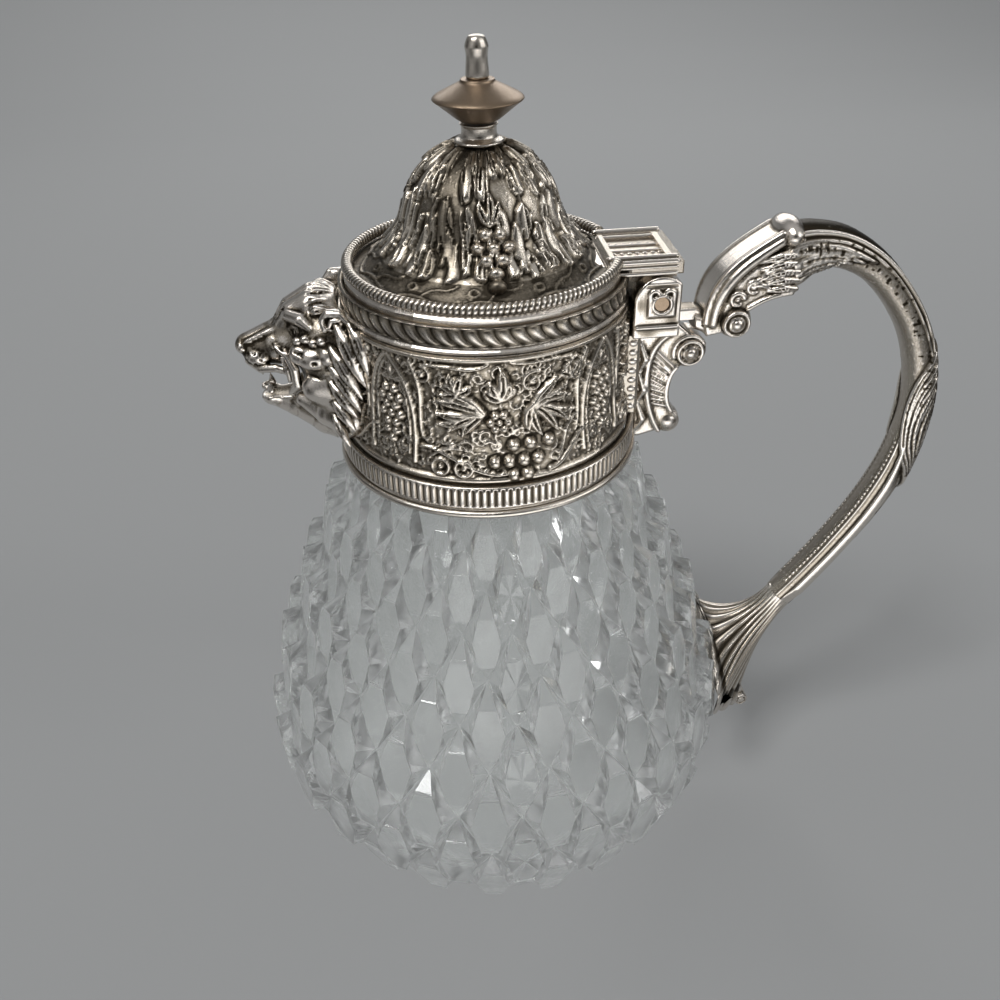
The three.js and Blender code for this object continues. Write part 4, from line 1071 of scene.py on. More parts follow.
    # ear
    lump((0.8, 8.9, 0.9), (2.4, 1.3, 2.0), 0.3)
    lump((1.7, 9.9, 0.8), (1.4, 1.0, 1.1), 0.15, carve=True)
    bar([(2.7, 8.9, -0.6), (3.0, 8.6, 0.9), (1.9, 8.8, 2.3), (0, 9.6, 2.2), (-1.2, 10.4, 1.0)],
        (0.5, 0.6, 0.65, 0.6, 0.4), 0.15)
    bar([(1.9, 9.8, 0.1), (1.4, 9.8, 1.3), (0.2, 10.3, 1.4)], (0.3, 0.4, 0.25), 0.12)

    def lock(start, middle, end, girth):
        """One tuft of the mane: fat in the middle, pointed at the end, parted by a groove."""
        path = bezier(at(*start), at(*middle), at(*middle), at(*end), 11)
        clay.stroke(path, (0.5 * girth, girth, 1.1 * girth, 0.75 * girth, 0.14), 0.04)
        out = np.array([-0.45, -1.0, 0.2])
        out = out / np.linalg.norm(out) * girth
        clay.stroke(path[1:-2] + out, (0.1, 0.24, 0.2, 0.1), 0.06, carve=True)

    # the low crest over the forehead
    for k in range(6):
        side = 0.2 + 1.15 * k
        rise = 2.3 - 0.33 * k + 0.3 * (k % 2)
        lock((6.8 - 0.5 * k, 0.9 * side, rise - 0.6), (4.4, side + 0.7, rise + 1.0),
             (1.0, side - 0.5, rise + 0.1), 0.55)
    # bold tufts sweep back and down from the ear and round the cheek
    for start, middle, end, girth in (
            ((0.6, 9.6, 0.2), (-1.0, 11.8, -3.0), (-3.2, 12.8, -9.6), 1.35),
            ((-1.6, 10.6, 0.6), (-2.9, 12.4, -1.8), (-3.8, 13.4, -7.2), 1.15),
            ((2.0, 9.4, -3.6), (0.2, 11.5, -6.2), (-2.4, 12.6, -11.8), 1.1),
            ((2.4, 9.2, -7.0), (0.0, 11.7, -9.4), (-1.9, 12.4, -14.2), 1.1),
            ((2.7, 9.0, -10.0), (0.7, 10.9, -12.4), (-1.1, 11.9, -15.4), 1.0),
            ((2.7, 8.8, -13.2), (1.1, 10.7, -15.2), (-0.6, 11.6, -18.2), 0.95),
            ((2.9, 8.4, -16.4), (1.9, 10.4, -18.6), (0.6, 11.4, -21.2), 0.85)):
        lock(start, middle, end, girth)
    clay.mirror_y()
    # keep clear of the lid's edge and of the collar's bands
    low, high = clay.low, clay.low + (np.array(clay.shape) - 1) * clay.cell
    cells, (x, y, z) = clay.near(low, high)
    radius = np.sqrt(x**2 + y**2)
    lid_room = np.maximum(radius - (GADROON_RADIUS + 0.35), LID_BOTTOM - 0.1 - z)
    collar_room = radius - np.where(z > BAND_TOP + 0.3, COLLAR_RADIUS - 0.4, WIRE_OUTER + 0.3)
    clay.merge(cells, np.minimum(lid_room, collar_room), 0.1, carve=True)
    # painted shade: darker patches on the nose, the muzzle's sides, the bridge of the nose, the eye sockets,
    # behind the ears, over the brow and inside the mouth
    patches = [(at(17.6, s * 0.6, -6.2), 2.6, 0.65) for s in (-1, 1)]
    for reach, side, rise, radius, amount in (
            (13.8, 2.8, -6.2, 1.8, 0.5), (12.5, 1.5, -3.6, 2.2, 0.4), (7.6, 4.6, -2.8, 1.8, 0.5),
            (1, 9.6, -2, 2.2, 0.55), (4.5, 6.2, -0.4, 2.6, 0.45), (11, 0, -12, 3.6, 0.4)):
        patches += [(at(reach, s * side, rise), radius, amount) for s in (-1, 1)]
    clay.piece("lion_head", "pitcher", ["lion_spout"], tarnish=0.03, depth=2.4, patches=patches)


lion()


# The handle

SCULPT_CELL = 0.22
HANDLE_HALF = 4.1
EAR_DROP = 6.2
SCROLL_FRONT_X = box_mm("handle_scroll")[0][0]
KNUCKLE = (PIN_X + 23.1, PIN_Z + 8.6)
VOLUTE = (PIN_X + 14.6, PIN_Z - 6.2)
# the bow's middle line as places from the hinge pin, with half its thickness at each
BOW_STATIONS = [
    (23.4, 4.4, 6.4), (27.6, 5.6, 5.2), (33.2, 5, 4.3), (39.6, 1.4, 3.7), (45.6, -5, 3.5),
    (50.2, -12.6, 3.4), (53, -21.6, 3.4), (53.6, -30.4, 3.5), (52.2, -39.8, 3.7), (48.3, -49.6, 3.7),
    (42.8, -58.8, 3.6), (37.2, -66.8, 3.6), (33, -72.2, 3.7),
]


def spline(stations, count):
    """Evenly spaced places on a smooth curve through the stations."""
    p = np.asarray(stations, float)
    p = np.vstack([2 * p[0] - p[1], p, 2 * p[-1] - p[-2]])
    fine = []
    for i in range(1, len(p) - 2):
        t = np.linspace(0, 1, 24, endpoint=False)[:, None]
        a, b, c, d = p[i - 1:i + 3]
        square, cube = 2 * a - 5 * b + 4 * c - d, 3 * b - a - 3 * c + d
        fine.append(0.5 * (2 * b + (c - a) * t + square * t**2 + cube * t**3))
    fine = np.vstack(fine + [p[-2:-1]])
    along = np.concatenate([[0], np.cumsum(np.hypot(*np.diff(fine[:, :2], axis=0).T))])
    at = np.linspace(0, along[-1], count)
    return np.stack([np.interp(at, along, fine[:, k]) for k in range(fine.shape[1])], 1), along[-1]


def bow():
    _, length = spline(BOW_STATIONS, 10)
    around = 24.0
    relief = Relief(around, 0, length, RELIEF_CELL)
    places, _ = spline(BOW_STATIONS, relief.rows)
    leaf_at = 0.5 * length
    # the outer strip: a plain dark channel between two rails
    strip_end = leaf_at + 2
    for hand in (-1, 1):
        relief.stroke([(hand * 3.3, 0), (hand * 3.2, 0.3 * length), (hand * 2.4, strip_end)],
                      (0.5, 0.45, 0.35), 0.8)
        relief.stroke([(hand * 4.6, 1), (hand * 4.4, 0.3 * length), (hand * 3.5, strip_end - 6)],
                      (0.3, 0.28, 0.15), 0.45)
        # the acanthus leaf that wraps the bow at its widest
        for k in range(6):
            path = bezier((hand * 0.5, leaf_at - 13 + 2.6 * k),
                          (hand * (13.2 - 1.7 * k), leaf_at - 5 + 1.4 * k),
                          (hand * (11 - 1.5 * k), leaf_at + 8 + 0.6 * k),
                          (hand * 0.4, leaf_at + 18 - 0.8 * k), 16)
            relief.stroke(path, (0.35, 0.95, 1.15, 0.9, 0.25), 1.0 - 0.05 * k)
            relief.stroke(path[2:-2], (0.16, 0.22, 0.14), 0.5, sink=True)
        # the leg: one bold bright ridge on each side, a fine moulding at the inner edge
        relief.stroke([(hand * 7.4, leaf_at + 8), (hand * 6.2, leaf_at + 18), (hand * 5.4, length)],
                      (0.5, 1.7, 1.5), 1.0)
        relief.stroke([(hand * 9.2, leaf_at + 6), (hand * 8.8, length)], (0.3, 0.3), 0.35)
        for k in range(int((length - leaf_at - 10) / 1.1)):
            relief.knob(hand * 10.2, leaf_at + 8 + 1.1 * k, (0.32, 0.42), 0.35)
        # sprays of leaves run on from the upper scroll
        for k in range(5):
            path = bezier((hand * (5.3 + 1.25 * k), 0.3), (hand * (5.6 + 1.2 * k), 4),
                          (hand * (6.1 + 0.8 * k), 8), (hand * (5.4 + 0.9 * k), 16 - 2.1 * k))
            relief.stroke(path, (0.6, 0.8, 0.55, 0.15), 0.85)
            relief.stroke(path[1:-2], (0.15, 0.2, 0.1), 0.4, sink=True)
    for _ in range(500):
        u, v = rng.uniform(-around / 2, around / 2), rng.uniform(0, length)
        relief.knob(u, v, rng.uniform(0.14, 0.28), 0.1)
    tarnish = relief.cavity(base=0.2)
    tarnish[relief.v < strip_end - 2] += 0.6 * (np.abs(relief.u) < 2.9)
    # dark specks where the plating has worn, most of them on the outer half of the leg
    for _ in range(230):
        v = length * rng.uniform(0, 1)
        u = rng.choice((-1, 1)) * (rng.uniform(4.5, 7) if v < leaf_at else rng.uniform(1.2, 4.4))
        cells = relief.near(u, u + rng.uniform(0.02, 0.3), v, v + rng.uniform(0.2, 0.7))
        if cells:
            tarnish[cells[0]] += rng.uniform(0.4, 0.75)
    relief.height *= np.clip((length - relief.v) / 4, 0, 1)[:, None]
    along = np.gradient(places[:, :2], axis=0)
    along /= np.linalg.norm(along, axis=1)[:, None]
    t = np.linspace(0, 1, relief.rows)[:, None]
    angle = (relief.u / around * TAU)[None, :]
    c, s = np.cos(angle), np.sin(angle)
    thick = places[:, 2:3] - 0.75 + relief.height * 0.75
    wide = HANDLE_HALF * (1 - 0.12 * t) - 0.7 + relief.height * 0.75
    out = thick * np.sign(c) * np.abs(c) ** 0.85
    x = PIN_X + places[:, 0:1] - along[:, 1:2] * out
    z = PIN_Z + places[:, 1:2] + along[:, 0:1] * out
    y = wide * np.sign(s) * np.abs(s) ** 0.8
    points = np.stack([x, y, z], -1).reshape(-1, 3)
    faces = grid_faces(relief.rows, relief.columns).tolist()
    faces += [list(range(relief.columns)), list(range(len(points) - relief.columns, len(points)))]
    mesh_object("handle_bow_chased", points, faces, "pitcher", ["handle_bow"], "silver",
                np.clip(tarnish, 0, 1).ravel())


bow()


def slab(clay, outline, half, round_off=0.4, blend=0.2, middle=0.0, carve=False):
    """A flat piece of the outline's shape (places in x and z), with its edges rounded off."""
    outline = np.asarray(outline, float)
    reach = 2 * clay.cell + blend + round_off
    low = (outline[:, 0].min() - reach, middle - half - reach, outline[:, 1].min() - reach)
    high = (outline[:, 0].max() + reach, middle + half + reach, outline[:, 1].max() + reach)
    cells, (x, y, z) = clay.near(low, high)
    px, pz = x[:, 0, :], z[0, 0, :][None, :]
    px, pz = np.broadcast_arrays(px, pz)
    best = np.full(px.shape, np.inf)
    inside = np.zeros(px.shape, bool)
    for a, b in zip(outline, np.roll(outline, -1, 0)):
        d = b - a
        t = np.clip(((px - a[0]) * d[0] + (pz - a[1]) * d[1]) / max(1e-9, d @ d), 0, 1)
        best = np.minimum(best, (px - a[0] - t * d[0]) ** 2 + (pz - a[1] - t * d[1]) ** 2)
        crosses = (a[1] > pz) != (b[1] > pz)
        inside ^= crosses & (px < a[0] + (pz - a[1]) * d[0] / (d[1] if d[1] else 1e-9))
    flat = np.where(inside, -1, 1) * np.sqrt(best) + round_off
    flat = flat[:, None, :]
    rise = np.abs(y - middle) - half + round_off
    outside = np.hypot(np.maximum(flat, 0), np.maximum(rise, 0))
    clay.merge(cells, np.minimum(np.maximum(flat, rise), 0) + outside - round_off, blend, carve)


def side_stroke(clay, places, y, radii, blend, carve=False):
    """A stroke through places given in x and z, all at one y."""
    clay.stroke([(x, y, z) for x, z in places], radii, blend, carve)


def volute(clay, x, z, radius, half):
    """A rolled end: a drum with a ringed eye on both sides."""
    slab(clay, circle(x, z, radius)[:-1], half, 0.35, 0.15)
    for hand in (-1, 1):
        side_stroke(clay, circle(x, z, 0.68 * radius), hand * half, (0.3, 0.3), 0.1, carve=True)
        clay.ball((x, hand * half, z), (0.36 * radius, 0.55, 0.36 * radius), 0.1)


def upper_scroll():
    clay = Sculpt((36.5, -6.2, 104.5), (55.5, 6.2, 129.5), SCULPT_CELL)
    foot = PIN_Z - EAR_DROP
    crest = bezier((SCROLL_FRONT_X, foot + 0.2), (SCROLL_FRONT_X + 0.1, PIN_Z + 1.5),
                   (PIN_X + 13.2, PIN_Z + 4.6), (KNUCKLE[0] - 2.4, KNUCKLE[1] + 0.4), 60)
    belly = bezier((PIN_X + 24.6, PIN_Z - 1.9), (PIN_X + 20.5, PIN_Z - 2), (PIN_X + 18.3, PIN_Z - 3.6),
                   (VOLUTE[0] + 2.6, VOLUTE[1] + 2), 16)
    outline = [tuple(p) for p in crest] + [(KNUCKLE[0] + 2.4, KNUCKLE[1] - 0.6)] + [tuple(p) for p in belly]
    outline += circle(VOLUTE[0], VOLUTE[1], 3.0, 0.21 * math.pi, -0.75 * math.pi, 16)
    outline += [(SCROLL_FRONT_X + 0.6, foot - 2.6)]
    slab(clay, outline, HANDLE_HALF - 0.7, 0.5)
    for hand in (-1, 1):
        y = hand * (HANDLE_HALF - 0.6)
        rail, edge, groove = (crest + shift for shift in ((1.5, -0.6), (0.35, -0.1), (2.9, -1.2)))
        side_stroke(clay, rail[1:], y, (0.75, 0.95, 0.9, 0.7), 0.15)
        side_stroke(clay, edge, hand * (HANDLE_HALF - 1.0), (0.6, 0.6), 0.3)
        side_stroke(clay, groove[4:-2], hand * (HANDLE_HALF - 0.5), (0.3, 0.4), 0.15, carve=True)
        side_stroke(clay, belly + (-0.5, 0.45), y, (0.45, 0.55), 0.15)
        # rocaille: three shells and a spray of leaves between the rail and the inner edge
        for k in range(3):
            cx, cz = PIN_X + 14.6 + 2.6 * k, PIN_Z - 2.0 + 2.0 * k
            side_stroke(clay, circle(cx, cz, 1.15 - 0.1 * k, 0.2, 5.2, 14), y, (0.5, 0.3), 0.12)
            clay.ball((cx, y, cz), (0.5, 0.45, 0.5), 0.1)
        for k in range(5):
            start = (PIN_X + 16.4 + 1.0 * k, y, PIN_Z + 0.2 + 0.95 * k)
            end = (PIN_X + 20.4 + 0.5 * k, y, PIN_Z - 0.6 + 1.7 * k)
            middle = ((start[0] + end[0]) / 2, hand * (HANDLE_HALF - 0.35), (start[2] + end[2]) / 2 + 0.7)
            clay.stroke([start, middle, end], (0.25, 0.5, 0.25), 0.12)
        # long leaves that run on over the start of the bow
        for k in range(5):
            start = np.array((PIN_X + 17.6 + 0.5 * k, y, PIN_Z + 4.4 - 1.3 * k))
            end = np.array((PIN_X + 24.8, hand * (HANDLE_HALF - 0.8), PIN_Z + 5.4 - 1.55 * k))
            middle = (start + end) / 2 + (0, hand * 0.35, 0.5)
            clay.stroke([start, middle, end], (0.3, 0.85, 0.5), 0.25)
            vein = [start + (0.6, hand * 0.4, 0), middle + (0, hand * 0.6, 0), end + (-0.8, hand * 0.4, 0)]
            clay.stroke(vein, (0.1, 0.2, 0.1), 0.08, carve=True)
    # the rounded neck that joins the scroll to the fork
    clay.stroke([(SCROLL_FRONT_X - 1.4, 0, foot + 0.1), (SCROLL_FRONT_X + 1.6, 0, foot - 0.9)],
                (1.7, 2.0), 0.4, flat=((0, 1, 0), 0.55))
    volute(clay, *VOLUTE, 2.5, HANDLE_HALF + 0.8)
    clay.ball((KNUCKLE[0], 0, KNUCKLE[1]), (2.5, HANDLE_HALF + 0.9, 2.5), 0.3)
    for hand in (-1, 1):
        side_stroke(clay, circle(*KNUCKLE, 1.6), hand * (HANDLE_HALF + 0.1), (0.22, 0.22), 0.1, carve=True)
    clay.piece("handle_scroll_cast", "pitcher", ["handle_scroll"], tarnish=0.05)


upper_scroll()


def c_bracket():
    """The open C-scroll under the fork: a volute at its nose, a ribbed hollow and a bud."""
    clay = Sculpt((25, -5, 84), (41.5, 5, 111.5), SCULPT_CELL)
    top = PIN_Z - EAR_DROP - 0.3
    back = COLLAR_RADIUS + 2.8
    nose = (PIN_X + 7.2, top - 5.2)
    bud = (PIN_X + 4.4, top - 19.4)
    inner = bezier((nose[0] - 1.6, nose[1] - 3), (PIN_X + 4.2, top - 9.5), (PIN_X + 3.2, top - 14),
                   (PIN_X + 5.2, top - 17), 20)
    outline = [(back, top), (PIN_X + 5, top)] + circle(*nose, 3.2, 0.5 * math.pi, -0.62 * math.pi, 16)
    outline += [tuple(p) for p in inner] + circle(*bud, 2.2, 0.33 * math.pi, -0.75 * math.pi, 12)
    outline += [(PIN_X - 1, top - 22), (back, top - 22)]
    slab(clay, outline, 2.5, 0.5)
    for hand in (-1, 1):
        y = hand * 2.4
        rim = inner + (-0.5, 0)
        side_stroke(clay, rim, y, (0.5, 0.55, 0.5), 0.15)
        spine = bezier((PIN_X + 4, top - 1.4), (PIN_X - 1.6, top - 3), (PIN_X - 1.4, top - 14),
                       (PIN_X + 2.6, top - 21), 24)
        side_stroke(clay, spine, y, (0.5, 0.7, 0.5), 0.15)
        side_stroke(clay, circle(*nose, 2.9, 0.15 * math.pi, 1.1 * math.pi, 16), y, (0.4, 0.5), 0.15)
        # the hollow between rim and spine is crossed by fine ribs
        for k in range(12):
            t = 0.1 + 0.8 * k / 11
            a = rim[int(t * (len(rim) - 1))]
            b = spine[int((0.22 + 0.62 * t) * (len(spine) - 1))]
            side_stroke(clay, (a, b), hand * 2.45, (0.26, 0.26), 0.08)
        for k in range(3):
            z = top - 6 * k
            clay.stroke([(back + 0.4, hand * 2.3, z - 3), (back + 1.4, hand * 2.7, z - 6),
                         (back + 0.5, hand * 2.3, z - 8.4)], (0.4, 0.7, 0.3), 0.15)
    volute(clay, *nose, 2.5, 3.6)
    clay.ball((bud[0], 0, bud[1]), (2.4, 3.2, 2.4), 0.2)
    for hand in (-1, 1):
        side_stroke(clay, circle(*bud, 1.9), hand * 1.6, (0.25, 0.25), 0.1, carve=True)
    clay.piece("scroll_bracket_cast", "pitcher", ["scroll_bracket"], tarnish=0.05)


c_bracket()

LEAF_HALF, LEAF_TAPER = 15.5, 0.35
LEAF_TOP, LEAF_DEPTH, LEAF_REACH = 41, 26.6, 8.5
LEAF_RIBS = 22


def leaf_foot():
    """The fluted trumpet at the foot of the handle, its rim laid against the glass."""
    end = np.array(BOW_STATIONS[-1][:2]) + (PIN_X, PIN_Z)
    before = np.array(BOW_STATIONS[-2][:2]) + (PIN_X, PIN_Z)
    along = (end - before) / np.linalg.norm(end - before)
    start = end - along * 0.6
    rim_top = np.array((body_radius(LEAF_TOP), LEAF_TOP))
    rim_foot = np.array((BELLY[0] + LEAF_REACH, LEAF_TOP - LEAF_DEPTH))
    rim_centre, rim_across = (rim_top + rim_foot) / 2, (rim_foot - rim_top) / 2
    start_across = np.array((-along[1], along[0])) * (BOW_STATIONS[-1][2] - 0.7)
    steps, sides = 60, LEAF_RIBS * 10
    points, cavity = [], []
    for s in range(steps + 1):
        t = s / steps
        centre = start + (rim_centre - start) * t
        across = start_across + (rim_across - start_across) * t**2.6
        half = 0.72 * HANDLE_HALF + (LEAF_HALF - 0.72 * HANDLE_HALF) * t**2.4
        bead = 0.05 * math.exp(-(((t - 0.955) / 0.022) ** 2))
        for k in range(sides):
            angle = TAU * k / sides
            down = math.cos(angle)
            rib = abs(math.cos(LEAF_RIBS * angle / 2)) ** 0.8
            fade = min(1, 3 * t) * (1 - 0.85 * min(1, max(0, (t - 0.93) / 0.03)))
            scallop = 1 + 0.03 * t**6 * rib
            flute = (1 - 0.13 * fade * (1 - rib) + bead) * scallop
            y = half * math.sin(angle) * flute * (1 - t * LEAF_TAPER * down)
            z = centre[1] + across[1] * down * flute
            free = centre[0] + across[0] * down * flute
            touching = math.sqrt((body_radius(z) + 0.35) ** 2 - y * y)
            hug = t**3 * (1 - max(0, down) ** 3)
            x = free + (min(free, touching) - free) * hug
            points.append((max(x, touching), y, z))
            # the flutes are darker in their hollows; the narrow dark ring just inside the rim bead is
            # painted shade
            cavity.append(min(1, 0.03 + 0.75 * fade * (1 - rib) ** 0.8 + 0.6 * (abs(t - 0.9) < 0.025)))
    faces = grid_faces(steps + 1, sides).tolist()
    faces += [list(range(sides)), list(range(steps * sides, (steps + 1) * sides))]
    mesh_object("handle_leaf_fan", points, faces, "pitcher", ["handle_leaf"], "silver", cavity)
    tip = Sculpt((50, -5, 10), (61, 5, 24), SCULPT_CELL)
    curl = rim_foot + (0.4, 0.3)
    tip.stroke([(curl[0] - 1.9, 0, curl[1] + 5), (curl[0] - 1.5, 0, curl[1] + 1.6), (curl[0], 0, curl[1])],
               (1.3, 2.0, 1.5), 0.2)
    slab(tip, circle(*curl, 1.6)[:-1], 2.2, 0.5)
    for hand in (-1, 1):
        side_stroke(tip, circle(*curl, 0.9), hand * 2.2, (0.2, 0.2), 0.1, carve=True)
    tip.piece("handle_leaf_curl", "pitcher", ())


leaf_foot()


# The hinge's mouldings and ornament

EAR_Y = box_mm("hinge_fork")[1][1]
ARM_LOW, ARM_HIGH = box_mm("lid_hinge_arm")


def hinge_fork():
    """Two ears with a raised lobed plate round the pin, the web between them and a rounded neck."""
    low, high = box_mm("hinge_fork")
    foot, radius, thickness = low[2], high[2] - PIN_Z, 3.1
    front, reach = low[0] - PIN_X, 3.4
    clay = Sculpt(np.array(low) - 1, np.array(high) + 1, 0.2)
    ear = [(low[0], foot), (PIN_X + reach, foot)]
    ear += circle(PIN_X, PIN_Z, radius, math.acos(reach / radius), math.acos(max(-1, front / radius)), 20)
    for hand in (-1, 1):
        y = hand * EAR_Y
        slab(clay, ear, thickness / 2, 0.35, 0, middle=y - hand * thickness / 2)
        plate = [(PIN_X - 2.3, PIN_Z - 2.2), (PIN_X + 2.3, PIN_Z - 2.2), (PIN_X + 2.4, PIN_Z + 1.4)]
        for dx in (1.25, -1.25):
            plate += circle(PIN_X + dx, PIN_Z + 1.5, 1.2, 0, math.pi, 10)
        plate += [(PIN_X - 2.4, PIN_Z + 1.4)]
        slab(clay, plate, 0.35, 0.15, 0.1, middle=y)
        side_stroke(clay, circle(PIN_X, PIN_Z, 1.55), y + hand * 0.3, (0.3, 0.3), 0.1)
        for dx in (-1.25, 1.25):
            clay.ball((PIN_X + dx, y + hand * 0.4, PIN_Z + 1.6), 0.5, 0.05, carve=True)
        for z in (PIN_Z + 3.1, PIN_Z + 3.8):
            side_stroke(clay, ((PIN_X - 2.6, z), (PIN_X + 2.4, z)), y + hand * 0.1, (0.22, 0.22), 0.05,
                        carve=True)
        side_stroke(clay, ((PIN_X - 4, PIN_Z - 4.1), (PIN_X + 3.0, PIN_Z - 4.1)), y, (0.35, 0.35), 0.1)
    web_top = PIN_Z - 3.8 - 0.3
    slab(clay, [(low[0], foot), (PIN_X + reach, foot), (PIN_X + reach, web_top), (low[0], web_top)],
         EAR_Y - 1, 0.2, 0)
    clay.stroke([(PIN_X + reach - 1, 0, foot + 1.15), (high[0] - 0.9, 0, foot + 1.15)], (1.15, 1.15), 0.2,
                flat=((0, 1, 0), 0.36))
    clay.stroke([(PIN_X, -9, PIN_Z), (PIN_X, 9, PIN_Z)], (1.35, 1.35), 0, carve=True)
    hollows = ((-2, -5.4, 1.6), (2, -3.2, 1.2), (0, 2.4, 1.3), (-3.6, 0, 1.2))
    patches = [((PIN_X + dx, s * EAR_Y, PIN_Z + dz), size, 0.4) for s in (-1, 1) for dx, dz, size in hollows]
    patches += [((high[0] - 1.5, 0, foot + 1), 3.4, 0.5)]
    clay.piece("hinge_fork_cast", "pitcher", ["hinge_fork"], tarnish=0.03, patches=patches)


def strap_edge():
    """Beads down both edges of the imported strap."""
    low, high = box_mm("collar_strap")
    beads = Sculpt(np.array(low) - 1, np.array(high) + 1, SCULPT_CELL)
    for hand, z in itertools.product((-1, 1), np.arange(low[2] + 1.3, high[2] - 1, 1.75)):
        beads.ball((high[0] - 1.4, hand * (high[1] - 0.25), z), (0.95, 0.55, 0.8), 0.15)
    beads.piece("strap_beads", "pitcher", (), tarnish=0.2)


def arm_ornament():
    """Mouldings along the arm's edges and a row of beads down each side of its sunk top."""
    clay = Sculpt((18, -9, 119), (36, 9, 126), 0.2)
    x0, x1 = ARM_LOW[0] + 0.6, ARM_HIGH[0] - 1.6
    top = ARM_HIGH[2]
    for hand in (-1, 1):
        y = hand * (ARM_HALF - 0.05)
        rail = hand * (ARM_HALF - 1.1)
        sunk = top - 0.7
        # each moulding: its two ends in x, its y and z, and its radius
        for start, end, side, z, r in (
                (x0, x1, y, top - 0.35, 0.4), (x0, x1, y, top - 1.25, 0.28), (x0, x1, y, top - 2.3, 0.38),
                (x0, x1, rail, top, 0.5), (x0, x1 - 0.4, rail - hand * 1.6, top - 0.5, 0.4),
                (x0 + 1.2, x1 - 1.2, hand * 1.3, sunk, 0.3)):
            side_stroke(clay, ((start, z), (end, z)), side, (r, r), 0.05)
        for k in range(9):
            clay.ball((x0 + 1.6 + 1.3 * k, hand * 2.3, sunk - 0.1), (0.55, 0.3, 0.3), 0.08)
    clay.piece("hinge_arm_ornament", "lid", (), tarnish=0.45)


hinge_fork()
strap_edge()
arm_ornament()


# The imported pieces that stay: softened edges and materials

slots = {row["node"]: row["material_slot"] for row in frame["record"]["subparts"]}
for name, node in frame["nodes"].items():
    if node.hide_render:
        continue
    node.data.materials.clear()
    darker = name in ("collar_strap", "lid_hinge_arm")
    node.data.materials.append(DARK_SILVER if darker else MATERIALS[slots[name]])
    soft = node.modifiers.new("soft edges", "BEVEL")
    soft.width = 0.22 * MM
    soft.segments = 3
    soft.limit_method = "ANGLE"
    soft.angle_limit = math.radians(35)
    soft.harden_normals = True


# Camera

CAMERA_AZIMUTH, CAMERA_PITCH, CAMERA_ROLL = math.radians(-6), math.radians(34.35), math.radians(1.36)
CAMERA_BACK, CAMERA_HEIGHT, CAMERA_SIDE = 160, 184, 1.9

camera_data = bpy.data.cameras.new("camera")
camera_data.sensor_width = 36
camera_data.lens = 36.04
camera_data.clip_start = 0.005
camera = add_object("camera", camera_data)
right = Vector((math.cos(CAMERA_AZIMUTH), math.sin(CAMERA_AZIMUTH), 0))
ahead = Vector((-math.sin(CAMERA_AZIMUTH), math.cos(CAMERA_AZIMUTH), 0))
skyward = Vector((0, 0, 1))
forward = ahead * math.cos(CAMERA_PITCH) - skyward * math.sin(CAMERA_PITCH)
up = ahead * math.sin(CAMERA_PITCH) + skyward * math.cos(CAMERA_PITCH)
rolled_up = up * math.cos(CAMERA_ROLL) + right * math.sin(CAMERA_ROLL)
rolled_right = right * math.cos(CAMERA_ROLL) - up * math.sin(CAMERA_ROLL)
place = (right * CAMERA_SIDE - ahead * CAMERA_BACK + skyward * CAMERA_HEIGHT) * MM
turn = Matrix((rolled_right, rolled_up, -forward)).transposed().to_4x4()
camera.matrix_world = Matrix.Translation(place) @ turn
bpy.context.scene.camera = camera


# Studio: lamps, dark and bright panels for the metal to mirror, floor and backdrop


def add_facing(name, data, location):
    """An object at the location, turned towards the middle of the pitcher."""
    made = add_object(name, data)
    made.location = location
    made.rotation_euler = (Vector((0, 0, 0.09)) - Vector(location)).to_track_quat("-Z", "Y").to_euler()
    return made


def area_light(name, location, size, power):
    data = bpy.data.lights.new(name, "AREA")
    data.shape = "RECTANGLE"
    data.size, data.size_y = size
    data.energy = power
    return add_facing(name, data, location)


def panel(name, location, size, colour, through=False):
    """A plain card, seen as a reflection in the metal, and where through is true also in the glass."""
    w, h = size[0] / 2, size[1] / 2
    mesh = bpy.data.meshes.new(name)
    mesh.from_pydata([(-w, -h, 0), (w, -h, 0), (w, h, 0), (-w, h, 0)], [], [(0, 1, 2, 3)])
    card = add_facing(name, mesh, location)
    made, _, shader = material(name)
    set_inputs(shader, {"Base Color": (*colour, 1), "Roughness": 1})
    mesh.materials.append(made)
    card.visible_camera = False
    card.visible_shadow = False
    card.visible_diffuse = False
    card.visible_transmission = through


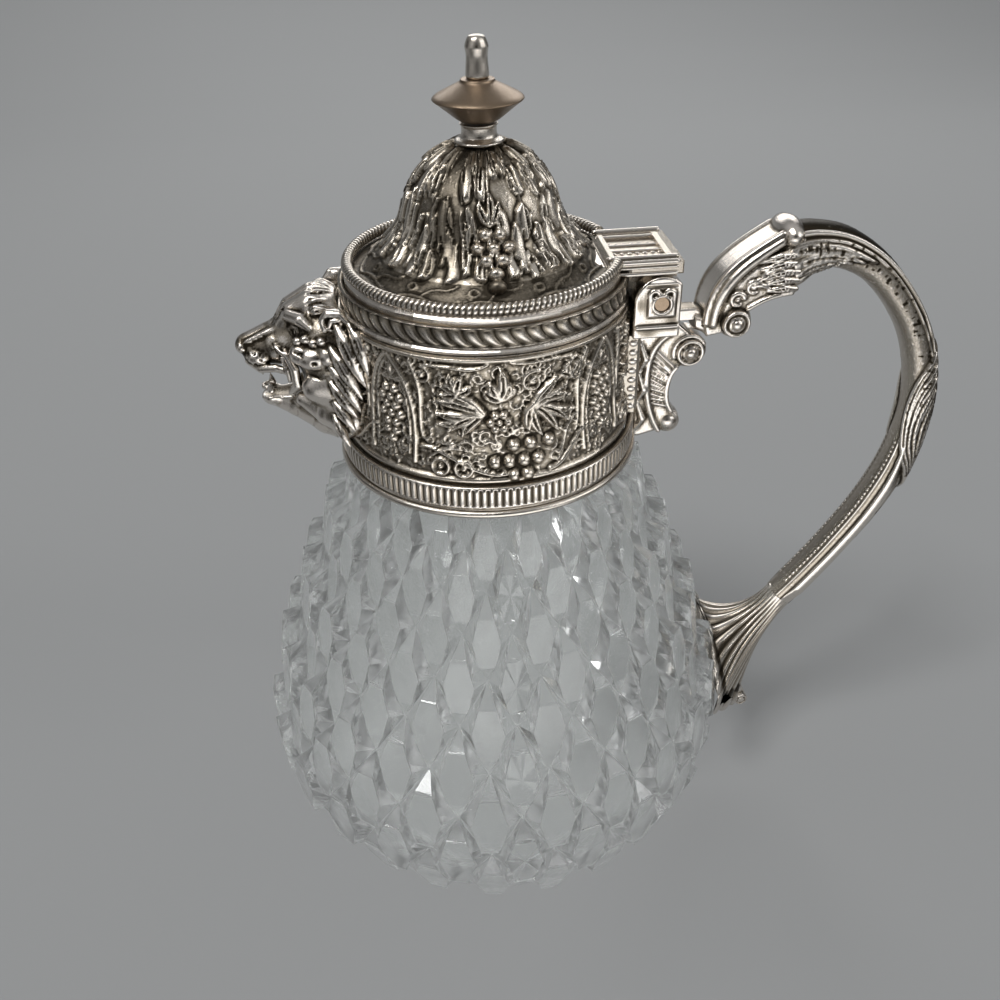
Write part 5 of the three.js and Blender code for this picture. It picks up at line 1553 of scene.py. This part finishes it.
area_light("key", (-0.6, -0.5, 1.4), (0.44, 0.44), 9.5)
area_light("window", (1.5, -0.7, 0.9), (0.36, 1.0), 6)
area_light("back", (0.15, 0.75, 0.5), (0.8, 0.25), 2.2)
# the pale cloth below the camera, as the upright metal mirrors it
glow = area_light("cloth", (0.015, -0.125, 0.045), (0.16, 0.08), 0.07)
glow.visible_diffuse = False
glow.visible_transmission = False
glow.visible_camera = False
panel("dark_low_left", (-0.15, -0.07, 0.06), (0.09, 0.11), (0.05, 0.045, 0.04))
panel("dark_low_right", (0.17, -0.03, 0.06), (0.09, 0.11), (0.05, 0.045, 0.04))
panel("dark_front", (-0.03, -0.5, 0.3), (0.5, 0.42), (0.035, 0.03, 0.025))
panel("dark_left", (-0.6, 0.1, 0.25), (0.3, 0.5), (0.06, 0.055, 0.05), through=True)
panel("dark_right", (0.55, 0.3, 0.3), (0.25, 0.5), (0.06, 0.055, 0.05), through=True)

world = bpy.data.worlds.new("studio")
bpy.context.scene.world = world
world.use_nodes = True
set_inputs(world.node_tree.nodes["Background"], {"Color": (0.66, 0.665, 0.67, 1), "Strength": 0.62})

# the floor rises behind the pitcher in one sweep
FLOOR_REACH = 2.5
WALL_START, WALL_BEND, WALL_TOP = 0.6, 0.5, 1.8
sweep = [(-FLOOR_REACH, 0), (0, 0), (WALL_START, 0)]
sweep += [(WALL_START + WALL_BEND * math.sin(a), WALL_BEND * (1 - math.cos(a)))
          for a in np.linspace(0.15, math.pi / 2, 10)]
sweep.append((WALL_START + WALL_BEND, WALL_TOP))
floor_mesh = bpy.data.meshes.new("floor")
floor_mesh.from_pydata([(x, y, z) for y, z in sweep for x in (-FLOOR_REACH, FLOOR_REACH)], [],
                       [(2 * k, 2 * k + 1, 2 * k + 3, 2 * k + 2) for k in range(len(sweep) - 1)])
floor_mesh.polygons.foreach_set("use_smooth", [True] * len(floor_mesh.polygons))
floor = add_object("floor", floor_mesh)
floor_look, _, floor_shader = material("floor")
set_inputs(floor_shader, {"Base Color": (0.315, 0.32, 0.322, 1), "Roughness": 0.95})
floor_mesh.materials.append(floor_look)

bpy.context.scene.view_settings.view_transform = "Standard"
